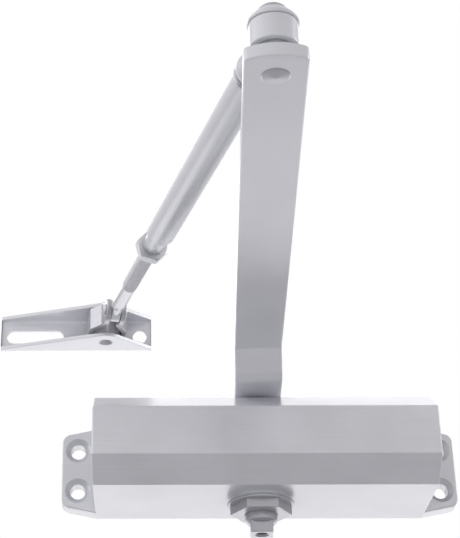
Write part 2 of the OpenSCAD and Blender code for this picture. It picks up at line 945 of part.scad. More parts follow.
module pinion_shaft() {
    color(steel_grey)
        along_arm()
            difference() {
                union() {
                    rotate([0, 0, arm_lean])
                        toothed_length();
                    rod_z(shaft_d, tooth_zone / 2, arm_z0);
                    rod_z(shaft_d, collar_face + collar_bevel, -tooth_zone / 2);
                    translate([0, 0, collar_face])
                        cylinder(d1 = shaft_d - 2 * collar_bevel, d2 = shaft_d, h = collar_bevel + eps);
                    square_end(tail_face, collar_face + 1);
                    square_end(arm_z0 - 1, square_top);
                }
                rod_z(thread_core_d, tail_face - 1, tail_face + thread_depth);
                translate([0, 0, tail_face - eps])
                    cylinder(d1 = end_hole_d, d2 = thread_core_d, h = (end_hole_d - thread_core_d) / 2);
                rod_z(thread_core_d, square_top - thread_depth - 2, square_top + 1);
            }
}

// Side view of the stepped bar: X out from the pinion, Y up
module stepped_bar() {
    low = [lower_to, arm_top0 + bend_r];
    high = [upper_from, arm_z1 - bend_r];
    outer_r = bend_r + arm_t;
    end = arm_l + arm_tip + 1;
    steps = 10;
    up = [for (i = [0 : steps]) i * rise_angle / steps];
    down = [for (i = [steps : -1 : 0]) i * rise_angle / steps];
    polygon(concat(
        [[-arm_w, arm_z0]],
        [for (a = up) low + outer_r * [sin(a), -cos(a)]],
        [for (a = down) high + bend_r * [-sin(a), cos(a)]],
        [[end, arm_z1], [end, arm_top1]],
        [for (a = up) high + outer_r * [-sin(a), cos(a)]],
        [for (a = down) low + bend_r * [sin(a), -cos(a)]],
        [[-arm_w, arm_top0]]
    ));
}

// Plan of the bar: round at the pinion, a shallow curve with rounded corners at the elbow
module bar_plan() {
    half = arm_w / 2;
    curve_y = -(arm_l + arm_tip - tip_curve_r);
    corner_x = half - tip_corner_r;
    corner_y = curve_y - sqrt(pow(tip_curve_r - tip_corner_r, 2) - pow(corner_x, 2));
    spread = asin(corner_x / (tip_curve_r - tip_corner_r));
    steps = 8;
    polygon(concat(
        [for (a = [0 : 5 : 180]) polar(half, 180 - a)],
        [for (i = [0 : steps])
            let (a = 90 + (spread - 90) * i / steps)
                [corner_x, corner_y] + tip_corner_r * [sin(a), -cos(a)]],
        [for (i = [1 : 2 * steps - 1])
            let (a = spread - spread * i / steps)
                [0, curve_y] + tip_curve_r * [sin(a), -cos(a)]],
        [for (i = [0 : steps])
            let (a = -spread - (90 - spread) * i / steps)
                [-corner_x, corner_y] + tip_corner_r * [sin(a), -cos(a)]]
    ));
}

module main_arm() {
    hole_w = square_w + 2 * run_gap;
    color(arm_grey)
        along_arm()
            difference() {
                intersection() {
                    rotate([90, 0, -90])
                        linear_extrude(arm_w + 2, center = true)
                            stepped_bar();
                    linear_extrude(arm_top1 + 1)
                        bar_plan();
                }
                translate([-hole_w / 2, -hole_w / 2, arm_z0 - 1])
                    cube([hole_w, hole_w, arm_t + 2]);
                translate([0, -arm_l, 0]) {
                    rod_z(stud_d + 2 * seat_gap, arm_z1 - 1, arm_top1 + 1);
                    rod_z(rivet_d + 2 * seat_gap, arm_z1 - 1, arm_z1 + rivet_seat);
                }
            }
}

module arm_washer() {
    color(plated)
        at_pinion()
            ring_z(washer_d, screw_d + 0.4, arm_top0, arm_top0 + washer_t);
}

module arm_screw() {
    head_from = arm_top0 + washer_t;
    color(plated)
        at_pinion()
            difference() {
                union() {
                    hex_nut(screw_head_af, head_from, head_from + screw_head_h, false);
                    rod_z(screw_d, square_top, head_from + 0.5);
                    rod_z(thread_core_d - 2 * seat_gap, square_top - thread_depth, square_top + 0.5);
                }
                rod_z(screw_d, head_from + screw_head_h - 0.5, head_from + screw_head_h + 1);
            }
}

// Stud riveted into the arm: a low closed head below, the hub's journal above
module elbow_stud() {
    head_r = rivet_head_d / 2;
    color(plated)
        at_elbow()
            difference() {
                rotate_extrude()
                    polygon([
                        [0, arm_z1 - rivet_head_h], [head_r * 0.12, arm_z1 - rivet_head_h],
                        [head_r * 0.88, arm_z1 - rivet_head_h * 0.38], [head_r, arm_z1],
                        [rivet_d / 2, arm_z1], [rivet_d / 2, arm_z1 + rivet_seat],
                        [stud_d / 2, arm_z1 + rivet_seat], [stud_d / 2, cap_z0], [0, cap_z0]
                    ]);
                rod_z(cap_screw_d, cap_z0 - 10, cap_z0 + 1);
            }
}

module elbow_spacer() {
    color(steel_grey)
        at_elbow()
            ring_z(spacer_d, stud_d + 2 * seat_gap, arm_top1, arm_top1 + spacer_h);
}

// Cap: a short rim, then a slightly swelling cone up to the flat under the screw head
module elbow_cap() {
    rim = 0.8;
    swell = 1.25;
    top_r = cap_top_d / 2;
    steps = 7;
    color(arm_grey)
        at_elbow()
            translate([0, 0, cap_z0])
                difference() {
                    rotate_extrude()
                        polygon(concat(
                            [[0, 0], [cap_d / 2, 0]],
                            [for (i = [0 : steps])
                                let (t = i / steps)
                                    [cap_d / 2 - (cap_d / 2 - top_r) * pow(t, swell), rim + (cap_h - rim) * t]],
                            [[0, cap_h]]
                        ));
                    rod_z(cap_screw_d + 2 * seat_gap, -1, cap_h + 1);
                }
}

module elbow_cap_screw() {
    rim = 0.6;
    top = cap_z1 + dome_h;
    ball_r = (pow(dome_d / 2, 2) + pow(dome_h - rim, 2)) / (2 * (dome_h - rim));
    color(plated)
        at_elbow()
            difference() {
                union() {
                    rod_z(cap_screw_d - 2 * seat_gap, cap_z0 - 8, cap_z1 + rim);
                    intersection() {
                        translate([0, 0, top - ball_r])
                            sphere(r = ball_r);
                        rod_z(dome_d, cap_z1, top + 1);
                    }
                }
                translate([0, 0, top - cap_socket_depth])
                    cylinder(d = cap_socket_af * hex_corner, h = cap_socket_depth + 1, $fn = 6);
            }
}

// Hub that turns on the stud, with a neck, a bevelled shoulder and a stem for the tube
module forearm_knuckle() {
    shoulder_from = tube_from - shoulder_l;
    bevel = shoulder_l * 0.42;
    stem_r = tube_bore_d / 2 - seat_gap;
    color(arm_grey)
        difference() {
            union() {
                at_elbow()
                    rod_z(hub_d, hub_z0, hub_z1);
                along_forearm()
                    turned_y([
                        [0, hub_d / 4], [neck_d / 2, hub_d / 4],
                        [neck_d / 2, shoulder_from], [shoulder_d / 2, shoulder_from + bevel],
                        [shoulder_d / 2, tube_from - bevel], [tube_bore_d / 2 + shoulder_seat, tube_from],
                        [stem_r, tube_from], [stem_r, tube_from + stem_l], [0, tube_from + stem_l]
                    ]);
            }
            at_elbow()
                rod_z(elbow_bore_d + 2 * elbow_bush_wall, hub_z0 - 1, hub_z1 + 1);
        }
}

module elbow_bush() {
    color(brass_yellow)
        at_elbow()
            ring_z(elbow_bore_d + 2 * (elbow_bush_wall - seat_gap), elbow_bore_d, hub_z0, hub_z1);
}

module forearm_tube() {
    from = tube_from + seat_gap;
    color(plated)
        along_forearm()
            turned_y([
                [tube_bore_d / 2, from], [tube_d / 2 - tube_lip, from],
                [tube_d / 2, from + tube_lip], [tube_d / 2, tube_to - tube_lip],
                [tube_d / 2 - tube_lip, tube_to], [tube_bore_d / 2, tube_to]
            ]);
}

// Threaded bush fixed in the tube's far end
module threaded_bush() {
    inner = thread_bore_d / 2;
    fixed = tube_bore_d / 2 - seat_gap;
    color(plated)
        along_forearm()
            turned_y([
                [inner, tube_to - bush_in], [fixed, tube_to - bush_in],
                [fixed, tube_to + seat_gap], [bush_d / 2, tube_to + seat_gap],
                [bush_d / 2, bush_to - bush_lip], [bush_d / 2 - bush_lip, bush_to],
                [inner, bush_to]
            ]);
}

module lock_nut() {
    color(plated)
        along_forearm()
            translate([0, lock_from, 0])
                rotate([-90, 0, 0])
                    difference() {
                        hex_nut(lock_af, 0, lock_t, true);
                        rod_z(thread_bore_d, -1, lock_t + 1);
                    }
}

// Threaded rod with a plain shank and a flattened eye for the cross pin
module adjusting_rod() {
    bevel = (rod_d - shank_d) / 2;
    color(steel_grey)
        along_forearm()
            difference() {
                union() {
                    turned_y([
                        [0, thread_from], [rod_d / 2, thread_from],
                        [rod_d / 2, thread_to - bevel], [shank_d / 2, thread_to],
                        [shank_d / 2, fore_len - eye_flat], [0, fore_len - eye_flat]
                    ]);
                    intersection() {
                        union() {
                            rod_y(shank_d, fore_len - eye_flat - 1, fore_len);
                            translate([0, fore_len, 0])
                                rod_x(2 * eye_r, -eye_t, eye_t);
                        }
                        translate([-eye_t / 2, 0, -eye_r - 1])
                            cube([eye_t, 2 * fore_len, 2 * eye_r + 2]);
                    }
                }
                translate([0, fore_len, 0])
                    rod_x(cross_pin_d + 2 * run_gap, -eye_t, eye_t);
            }
}

module cross_pin() {
    reach = ear_outer + cross_head_h;
    color(plated)
        at_yoke()
            translate([0, -pin_reach, -pin_drop])
                rotate([0, 0, -90])
                    turned_y([
                        [0, -reach], [cross_head_d / 2 - 0.7, -reach],
                        [cross_head_d / 2, -ear_outer], [cross_pin_d / 2, -ear_outer],
                        [cross_pin_d / 2, ear_outer], [cross_head_d / 2, ear_outer],
                        [cross_head_d / 2 - 0.7, reach], [0, reach]
                    ]);
}

// Plan of the yoke's strap: a loop round the pivot that squares off, then necks in to two ears
module strap_plan() {
    square_in = yoke_square - yoke_t * 0.35;
    neck_in = yoke_neck - yoke_t * 0.35;
    difference() {
        union() {
            circle(yoke_r);
            polygon([
                [-yoke_r, 0], [-yoke_r, -yoke_square], [-ear_outer, -yoke_neck],
                [ear_outer, -yoke_neck], [yoke_r, -yoke_square], [yoke_r, 0]
            ]);
        }
        circle(sleeve_r);
        polygon([
            [-sleeve_r, 0], [-sleeve_r, -square_in], [-ear_inner, -neck_in], [-ear_inner, -yoke_neck - 1],
            [ear_inner, -yoke_neck - 1], [ear_inner, -neck_in], [sleeve_r, -square_in], [sleeve_r, 0]
        ]);
    }
}

// Side view of an ear: X out from the pivot, Y up
module yoke_ear_side() {
    drop_from = pin_reach - yoke_ear_r;
    translate([yoke_neck - 0.5, -yoke_h / 2])
        square([drop_from - yoke_neck + 0.5, yoke_h]);
    translate([drop_from - eps, -pin_drop - yoke_ear_r])
        square([yoke_ear_r + eps, 2 * yoke_ear_r]);
    translate([pin_reach, -pin_drop])
        circle(yoke_ear_r);
}

module swivel_yoke() {
    color(plated)
        at_yoke()
            difference() {
                union() {
                    linear_extrude(yoke_h, center = true)
                        strap_plan();
                    for (side = [0, 1])
                        mirror([side, 0, 0])
                            translate([ear_outer, 0, 0])
                                rotate([90, 0, -90])
                                    linear_extrude(yoke_t)
                                        yoke_ear_side();
                }
                translate([0, -pin_reach, -pin_drop])
                    rod_x(cross_pin_d + 2 * seat_gap, -ear_outer - 1, ear_outer + 1);
            }
}

module pivot_sleeve() {
    color(plated)
        at_yoke()
            ring_z(2 * (sleeve_r - seat_gap), pivot_d + 2 * run_gap, -sleeve_h / 2, sleeve_h / 2);
}

// Cross-section of the bracket's channel: X out from the back, Y up
module channel_side() {
    deep = pivot_depth + apex_r + 1;
    in_r = shoe_bend_r - shoe_t;
    difference() {
        union() {
            translate([0, shoe_bend_r])
                square([deep, shoe_h - 2 * shoe_bend_r]);
            translate([shoe_bend_r, 0])
                square([deep - shoe_bend_r, shoe_h]);
            for (z = [shoe_bend_r, shoe_h - shoe_bend_r])
                translate([shoe_bend_r, z])
                    circle(shoe_bend_r);
        }
        translate([shoe_t, shoe_t + in_r])
            square([deep, shoe_h - 2 * shoe_t - 2 * in_r]);
        translate([shoe_t + in_r, shoe_t])
            square([deep, shoe_h - 2 * shoe_t]);
        for (z = [shoe_t + in_r, shoe_h - shoe_t - in_r])
            translate([shoe_t + in_r, z])
                circle(in_r);
    }
}

// Plan of the bracket about its pivot: flanges taper from the rounded apex to both ends
module channel_plan() {
    centre = [0, 0];
    back = pivot_depth;
    edge = back - flange_end;
    left = [-shoe_left, edge];
    right = [shoe_right, edge];
    circle(apex_r);
    polygon([
        [-shoe_left, back + 1], left,
        tangent_point(left, centre, apex_r, 1), centre, tangent_point(right, centre, apex_r, -1),
        right, [shoe_right, back + 1]
    ]);
}

module foot_bracket() {
    fixing_z = shoe_h / 2 - fixing_drop;
    color(casting_grey)
        translate([pivot[0], pivot[1], shoe_z0])
            difference() {
                intersection() {
                    translate([0, pivot_depth, 0])
                        rotate([90, 0, -90])
                            linear_extrude(2 * (shoe_left + shoe_right), center = true)
                                channel_side();
                    translate([0, 0, -1])
                        linear_extrude(shoe_h + 2)
                            channel_plan();
                }
                translate([shoe_hole_at, 0, fixing_z])
                    rod_y(shoe_hole_d, pivot_depth - shoe_t - 1, pivot_depth + 1);
                for (end = [-1, 1])
                    translate([-slot_at + end * (slot_l - slot_w) / 2, 0, fixing_z])
                        rod_y(slot_w, pivot_depth - shoe_t - 1, pivot_depth + 1);
                translate([-slot_at - (slot_l - slot_w) / 2, pivot_depth - shoe_t - 1, fixing_z - slot_w / 2])
                    cube([slot_l - slot_w, shoe_t + 2, slot_w]);
                rod_z(pivot_d + 2 * seat_gap, -1, shoe_h + 1);
            }
}

// Rivet through both flanges, with a dimpled lower end
module bracket_pivot_pin() {
    color(plated)
        translate([pivot[0], pivot[1], 0])
            difference() {
                union() {
                    rod_z(pivot_d, shoe_z0 + pivot_recess, shoe_z1 + 0.5);
                    translate([0, 0, shoe_z1])
                        cylinder(d1 = pivot_head_d, d2 = pivot_head_d - 3, h = pivot_head_h);
                }
                translate([0, 0, shoe_z0 + pivot_recess - eps])
                    cylinder(d1 = pivot_d - 2 * pivot_rim, d2 = pivot_d / 4, h = pivot_dimple);
            }
}

body_casting();
left_end_plug();
right_end_plug();
end_plug_rings();
rack_piston();
check_valve_ball();
check_valve_ring();
main_spring();
upper_bearing();
lower_bearing();
upper_seal();
lower_seal();
upper_seal_nut();
lower_seal_washer();
lower_seal_nut();
closing_valve_screw();
latching_valve_screw();
closing_valve_ring();
latching_valve_ring();
pinion_shaft();
main_arm();
arm_washer();
arm_screw();
elbow_stud();
elbow_spacer();
elbow_cap();
elbow_cap_screw();
forearm_knuckle();
elbow_bush();
forearm_tube();
threaded_bush();
lock_nut();
adjusting_rod();
cross_pin();
swivel_yoke();
pivot_sleeve();
foot_bracket();
bracket_pivot_pin();
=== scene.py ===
import json
from math import acos, asin, atan2, cos, hypot, pi, radians, sin, sqrt, tan

import bmesh
import bpy
from mathutils import Matrix, Vector

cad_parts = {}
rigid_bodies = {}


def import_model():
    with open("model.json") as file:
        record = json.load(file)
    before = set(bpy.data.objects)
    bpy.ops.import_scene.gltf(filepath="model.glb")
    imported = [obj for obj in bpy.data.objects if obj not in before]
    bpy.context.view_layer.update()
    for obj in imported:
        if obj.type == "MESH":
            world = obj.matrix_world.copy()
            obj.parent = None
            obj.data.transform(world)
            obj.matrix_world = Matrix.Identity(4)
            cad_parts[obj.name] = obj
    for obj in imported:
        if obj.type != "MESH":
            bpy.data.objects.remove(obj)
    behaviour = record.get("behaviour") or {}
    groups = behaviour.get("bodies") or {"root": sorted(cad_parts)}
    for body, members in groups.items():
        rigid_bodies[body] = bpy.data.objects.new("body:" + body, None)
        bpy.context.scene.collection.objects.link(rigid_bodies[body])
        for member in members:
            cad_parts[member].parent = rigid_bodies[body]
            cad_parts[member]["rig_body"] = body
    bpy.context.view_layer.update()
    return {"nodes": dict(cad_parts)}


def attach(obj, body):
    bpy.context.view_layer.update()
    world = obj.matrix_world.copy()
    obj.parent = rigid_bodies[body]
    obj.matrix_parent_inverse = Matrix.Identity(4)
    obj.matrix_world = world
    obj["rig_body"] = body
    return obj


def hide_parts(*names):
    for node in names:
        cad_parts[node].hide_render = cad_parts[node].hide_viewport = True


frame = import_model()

mm = 0.001
imageWidth, imageHeight = 460, 538
softEdgeAngle = radians(34)   # steeper edges stay crisp
hair = 0.01      # mm that a cutter reaches past a face; a gap between pieces is a few of them
overlap = 0.5    # mm that a joined form reaches into the next one

# The pieces' places, in mm, in the frame of the CAD
layout = {
    "pinion": (-1.0, -28.0),
    "armLean": radians(2.15),
    "armLength": 250.4,
    "bracketPivot": (-70.4, -11.5, 71.4),
    "pinReach": 21.8,
    "pinDrop": 2.1,
    "hubMiddle": 49.55,
}


def alongX():
    return Matrix(((0, 0, 1, 0), (1, 0, 0, 0), (0, 1, 0, 0), (0, 0, 0, 1)))


def alongY():
    return Matrix.Rotation(-pi / 2, 4, "X")


def at(x, y, z=0.0):
    return Matrix.Translation((x, y, z))


def spun(angle, axis="Z"):
    return Matrix.Rotation(angle, 4, axis)


# Places that follow from the layout
pinionX, pinionY = layout["pinion"]
elbowX = pinionX - layout["armLength"] * sin(layout["armLean"])
elbowY = pinionY - layout["armLength"] * cos(layout["armLean"])
pivotX, pivotY, pivotZ = layout["bracketPivot"]
fold = atan2(elbowX - pivotX, pivotY - elbowY)
pinPlace = Vector((pivotX + layout["pinReach"] * sin(fold),
                   pivotY - layout["pinReach"] * cos(fold), pivotZ - layout["pinDrop"]))
forearmRun = hypot(pinPlace.x - elbowX, pinPlace.y - elbowY)
forearmTilt = atan2(pinPlace.z - layout["hubMiddle"], forearmRun)
forearmLength = hypot(forearmRun, pinPlace.z - layout["hubMiddle"])

pinionFrame = at(pinionX, pinionY)
armFrame = pinionFrame @ spun(-layout["armLean"])
elbowFrame = at(elbowX, elbowY)
forearmFrame = at(elbowX, elbowY, layout["hubMiddle"]) @ spun(fold) @ spun(forearmTilt, "X")
yokeFrame = at(pivotX, pivotY, pivotZ) @ spun(fold)


# Outlines and meshes, all in mm until finishPiece

def arc(centre, radius, start, end, steps):
    turns = [radians(start + (end - start) * i / steps) for i in range(steps + 1)]
    return [(centre[0] + radius * cos(a), centre[1] + radius * sin(a)) for a in turns]


def roundOff(points, steps=4, closed=True):
    # a point (x, y, radius) becomes an arc of that radius
    out = []
    for i, point in enumerate(points):
        here = Vector(point[:2])
        inside = closed or 0 < i < len(points) - 1
        if len(point) < 3 or point[2] <= 0 or not inside:
            out.append(here)
            continue
        before = Vector(points[i - 1][:2]) - here
        after = Vector(points[(i + 1) % len(points)][:2]) - here
        half = before.angle(after) / 2
        cut = min(point[2] / tan(half), 0.49 * before.length, 0.49 * after.length)
        radius = cut * tan(half)
        middle = (before.normalized() + after.normalized()).normalized()
        centre = here + middle * (radius / sin(half))
        first = here + before.normalized() * cut - centre
        last = here + after.normalized() * cut - centre
        start = atan2(first.y, first.x)
        sweep = (atan2(last.y, last.x) - start + pi) % (2 * pi) - pi
        for k in range(steps + 1):
            a = start + sweep * k / steps
            out.append(centre + radius * Vector((cos(a), sin(a))))
    return out


def inset(points, depth):
    # points run counter-clockwise; a negative depth makes the outline larger
    out = []
    for i, point in enumerate(points):
        here = Vector(point)
        into = (here - Vector(points[i - 1])).normalized()
        away = (Vector(points[(i + 1) % len(points)]) - here).normalized()
        left = Vector((-into.y, into.x))
        right = Vector((-away.y, away.x))
        out.append(here + (left + right) * (depth / max(0.3, 1 + left.dot(right))))
    return out


def edgeSteps(low, high, edges, steps=3):
    # levels and insets of a raised outline whose two end edges are rounded
    levels = []
    for k in range(steps + 1):
        a = pi / 2 * k / steps
        levels.append((low + abs(edges[0]) * (1 - cos(a)), edges[0] * (1 - sin(a))))
    for k in range(steps + 1):
        a = pi / 2 * (1 - k / steps)
        levels.append((high - abs(edges[1]) * (1 - cos(a)), edges[1] * (1 - sin(a))))
    return levels


def loft(rings):
    form = bmesh.new()
    rows = [[form.verts.new(p) for p in ring] for ring in rings]
    count = len(rows[0])
    for low, high in zip(rows, rows[1:]):
        for i in range(count):
            j = (i + 1) % count
            form.faces.new((low[i], low[j], high[j], high[i]))
    form.faces.new(reversed(rows[0]))
    form.faces.new(rows[-1])
    return form


def raised(outline, low, high, edges=(0, 0), steps=3):
    rings = []
    for level, depth in edgeSteps(low, high, edges, steps):
        rings.append([(p[0], p[1], level) for p in inset(outline, depth)])
    return loft(rings)


def turned(outline, sides=96, ring=False):
    # outline of (radius, height) points, closed on the axis or, as a ring, on itself
    form = bmesh.new()
    rows = []
    for radius, height in outline:
        if radius < 1e-6:
            rows.append([form.verts.new((0, 0, height))])
        else:
            turns = [2 * pi * i / sides for i in range(sides)]
            rows.append([form.verts.new((radius * cos(a), radius * sin(a), height)) for a in turns])
    pairs = list(zip(rows, rows[1:]))
    if ring:
        pairs.append((rows[-1], rows[0]))
    for low, high in pairs:
        for i in range(sides):
            j = (i + 1) % sides
            if len(low) == 1:
                form.faces.new((low[0], high[j], high[i]))
            elif len(high) == 1:
                form.faces.new((low[i], low[j], high[0]))
            else:
                form.faces.new((low[i], low[j], high[j], high[i]))
    return form


def rod(diameter, low, high, lead=0.0, sides=64):
    # plain cutter; a lead widens both its ends, which breaks the edges of the hole
    r = diameter / 2
    outline = [(0, low), (r + lead, low), (r, low + lead), (r, high - lead), (r + lead, high), (0, high)]
    if not lead:
        outline = [(0, low), (r, low), (r, high), (0, high)]
    return turned(outline, sides)


def ringShape(outer, inner, low, high, edge=0.25):
    corners = [(inner / 2, low, edge / 2), (outer / 2, low, edge),
               (outer / 2, high, edge), (inner / 2, high, edge / 2)]
    return turned(roundOff(corners, 3), ring=True)


def hexOutline(acrossFlats, corner=0.25, turn=0.0):
    r = acrossFlats / 2 / cos(pi / 6)
    points = [(r * cos(a), r * sin(a), corner) for a in [turn + i * pi / 3 for i in range(6)]]
    return roundOff(points, 3)


def addObject(name, data):
    obj = bpy.data.objects.new(name, data)
    bpy.context.scene.collection.objects.link(obj)
    return obj


def asObject(form, place=Matrix.Identity(4)):
    bmesh.ops.recalc_face_normals(form, faces=form.faces)
    mesh = bpy.data.meshes.new("form")
    form.to_mesh(mesh)
    form.free()
    mesh.transform(place)
    return addObject("form", mesh)


def lathe(points, steps=3, sides=96, place=Matrix.Identity(4)):
    # turned object of an outline that ends on the axis, its marked corners rounded
    return asObject(turned(roundOff(points, steps, closed=False), sides), place)


def evaluated(obj):
    bpy.context.view_layer.update()
    graph = bpy.context.evaluated_depsgraph_get()
    mesh = bpy.data.meshes.new_from_object(obj.evaluated_get(graph))
    obj.modifiers.clear()
    obj.data = mesh
    return obj


def combine(base, kind, *tools):
    for tool in tools:
        step = base.modifiers.new("step", "BOOLEAN")
        step.operation = kind
        step.solver = "EXACT"
        step.object = tool
    evaluated(base)
    for tool in tools:
        bpy.data.objects.remove(tool)
    return base


def finishPiece(node, obj, material, place=Matrix.Identity(4)):
    # to metres, soft-edged shading that keeps flats flat, then its body, node and slot
    mesh = obj.data
    mesh.transform(Matrix.Scale(mm, 4) @ place)
    clean = bmesh.new()
    clean.from_mesh(mesh)
    bmesh.ops.remove_doubles(clean, verts=clean.verts, dist=2e-6)
    bmesh.ops.dissolve_degenerate(clean, edges=clean.edges, dist=1e-6)
    clean.to_mesh(mesh)
    clean.free()
    mesh.materials.clear()
    mesh.materials.append(material)
    mesh.shade_smooth()
    mesh.set_sharp_from_angle(angle=softEdgeAngle)
    flats = obj.modifiers.new("flats", "WEIGHTED_NORMAL")
    flats.keep_sharp = True
    flats.weight = 80
    evaluated(obj)
    obj.name = obj.data.name = node + "_piece"
    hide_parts(node)
    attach(obj, frame["nodes"][node]["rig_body"])
    return obj


def finishRing(node, sizes, keys, material, place):
    # the keys name outer and inner diameter, low and high face, edge radius
    ring = ringShape(*[sizes[key] for key in keys.split()])
    return finishPiece(node, asObject(ring), material, place)


# Materials: procedural finishes, the sizes of their patterns in mm

def hexToLinear(code):
    parts = [int(code[i:i + 2], 16) / 255 for i in (1, 3, 5)]
    return tuple(c / 12.92 if c <= 0.04045 else ((c + 0.055) / 1.055) ** 2.4 for c in parts) + (1.0,)


def emptyTree(owner):
    owner.use_nodes = True
    owner.node_tree.nodes.clear()
    return owner.node_tree


def addNode(tree, kind, settings=None, links=None):
    # a link given as a node means its first output
    node = tree.nodes.new("ShaderNode" + kind)
    for key, value in (settings or {}).items():
        if isinstance(key, str) and hasattr(node, key):
            setattr(node, key, value)
        else:
            node.inputs[key].default_value = value
    for key, source in (links or {}).items():
        output = source.outputs[0] if isinstance(source, bpy.types.Node) else source
        tree.links.new(output, node.inputs[key])
    return node


def surface(name, dark, light, metallic, roughness, cloudMm, grainMm, lineMm, lineShare, bump,
            bumpMm=0.02):
    # one finish: two tones in soft clouds, fine grain in tone, gloss and height,
    # and lines where the metal was drawn or turned
    material = bpy.data.materials.new(name)
    tree = emptyTree(material)
    place = addNode(tree, "TexCoord").outputs["Object"]
    clouds = addNode(tree, "TexNoise", {"Scale": 1 / (cloudMm * mm), "Detail": 3.0}, {"Vector": place})
    grain = addNode(tree, "TexNoise", {"Scale": 1 / (grainMm * mm), "Detail": 2.0}, {"Vector": place})
    drawn = addNode(tree, "Mapping", {"Scale": [1 / (size * mm) for size in lineMm]}, {"Vector": place})
    lines = addNode(tree, "TexNoise", {"Scale": 1.0, "Detail": 2.0}, {"Vector": drawn})
    marks = addNode(tree, "Mix", {"data_type": "FLOAT", 0: lineShare}, {2: grain, 3: lines})
    tone = addNode(tree, "Mix", {"data_type": "FLOAT", 0: 0.5}, {2: clouds, 3: marks})
    spread = addNode(tree, "MapRange", {"From Min": 0.35, "From Max": 0.65}, {"Value": tone})
    tones = {"data_type": "RGBA", 6: hexToLinear(dark), 7: hexToLinear(light)}
    colour = addNode(tree, "Mix", tones, {0: spread}).outputs[2]
    glossSpan = {"From Min": 0.3, "From Max": 0.7, "To Min": roughness[0], "To Max": roughness[1]}
    gloss = addNode(tree, "MapRange", glossSpan, {"Value": marks})
    height = addNode(tree, "Bump", {"Strength": bump, "Distance": bumpMm * mm}, {"Height": marks})
    shader = addNode(tree, "BsdfPrincipled", {"Metallic": metallic},
                     {"Base Color": colour, "Roughness": gloss, "Normal": height})
    addNode(tree, "OutputMaterial", links={"Surface": shader})
    return material


# Silver enamel sprayed on die-cast aluminium: a soft grey sheen over faint lengthwise lines of
# the linished metal, 0.1 mm apart on the real one, drawn 0.5 mm so that they show
castEnamel = surface(
    name="silver enamel on die-cast aluminium",
    dark="#d6d6dc", light="#e3e3e9", metallic=0.25, roughness=(0.28, 0.32),
    cloudMm=30, grainMm=0.4, lineMm=(45, 0.5, 0.5), lineShare=0.5, bump=0.008,
)
# The same enamel on pressed steel: no lines, only the spray's fine grain, 0.15 mm on the real
# one, drawn 0.35 mm
steelEnamel = surface(
    name="silver enamel on pressed steel",
    dark="#dadae0", light="#e0e0e6", metallic=0.25, roughness=(0.28, 0.32),
    cloudMm=24, grainMm=0.35, lineMm=(1, 8, 1), lineShare=0.3, bump=0.008,
)
# The same enamel on the bracket's sheet, made lighter: painted light that lifts the shade inside the
# channel and under the yoke
enamelPaintedLight = surface(
    name="silver enamel on sheet steel, lightened as painted light",
    dark="#e8e8ee", light="#eeeef4", metallic=0.25, roughness=(0.28, 0.32),
    cloudMm=24, grainMm=0.35, lineMm=(8, 1, 1), lineShare=0.3, bump=0.008,
)
# Bright zinc plate on drawn steel: clear reflections, softened a little by the drawing lines
zincPlate = surface(
    name="bright zinc plate on drawn steel",
    dark="#c6c6cc", light="#cacad0", metallic=0.75, roughness=(0.35, 0.37),
    cloudMm=18, grainMm=0.5, lineMm=(1.2, 30, 1.2), lineShare=0.3, bump=0.005,
)
# Rod, lock nut and sleeve get the plate made paler: painted light that keeps the thread and the shaded
# hollows light, under a soft sheen
zincPaintedLight = surface(
    name="zinc plate lightened as painted light, with a soft sheen",
    dark="#d2d2d8", light="#d8d8de", metallic=0.45, roughness=(0.27, 0.30),
    cloudMm=12, grainMm=0.5, lineMm=(1, 1, 6), lineShare=0.3, bump=0.01,
)
# The same plate on hexagon bar and strip, made greyer: painted shade, so that only the faces that look down
# stay bright
zincPaintedShade = surface(
    name="zinc plate greyed as painted shade, on bar and strip",
    dark="#b4b4ba", light="#bababf", metallic=0.5, roughness=(0.28, 0.32),
    cloudMm=12, grainMm=0.5, lineMm=(8, 8, 0.6), lineShare=0.4, bump=0.01,
)
# And on the turned dome of the elbow, left dull: a soft grey without clear reflections
dullZinc = surface(
    name="dull zinc plate on turned steel",
    dark="#b4b4ba", light="#bcbcc2", metallic=0.6, roughness=(0.38, 0.44),
    cloudMm=12, grainMm=0.5, lineMm=(8, 8, 0.6), lineShare=0.4, bump=0.02,
)
# Turned free-cutting steel, satin: darker, with the tool's rings across the axis
turnedSteel = surface(
    name="satin turned steel",
    dark="#b0b0b6", light="#b8b8be", metallic=0.7, roughness=(0.30, 0.36),
    cloudMm=10, grainMm=0.3, lineMm=(12, 12, 0.35), lineShare=0.6, bump=0.02,
)
# Oiled spring wire: dark, with long drawing lines
springWire = surface(
    name="oiled drawn spring wire",
    dark="#505056", light="#64646a", metallic=1.0, roughness=(0.22, 0.36),
    cloudMm=8, grainMm=0.4, lineMm=(1, 6, 6), lineShare=0.5, bump=0.08,
)
# Machined brass: warm, with fine turning rings
machinedBrass = surface(
    name="machined brass",
    dark="#b3935a", light="#c9ab6c", metallic=1.0, roughness=(0.22, 0.34),
    cloudMm=6, grainMm=0.3, lineMm=(0.3, 5, 5), lineShare=0.6, bump=0.08, bumpMm=0.015,
)
# Moulded nitrile rubber: near black and dull
nitrileRubber = surface(
    name="moulded nitrile rubber",
    dark="#232325", light="#303033", metallic=0.0, roughness=(0.52, 0.66),
    cloudMm=5, grainMm=0.25, lineMm=(1, 1, 1), lineShare=0.0, bump=0.15,
)


# Body: block with an ear at each end, boss, cylinder bore, seats, valve bores, screw holes

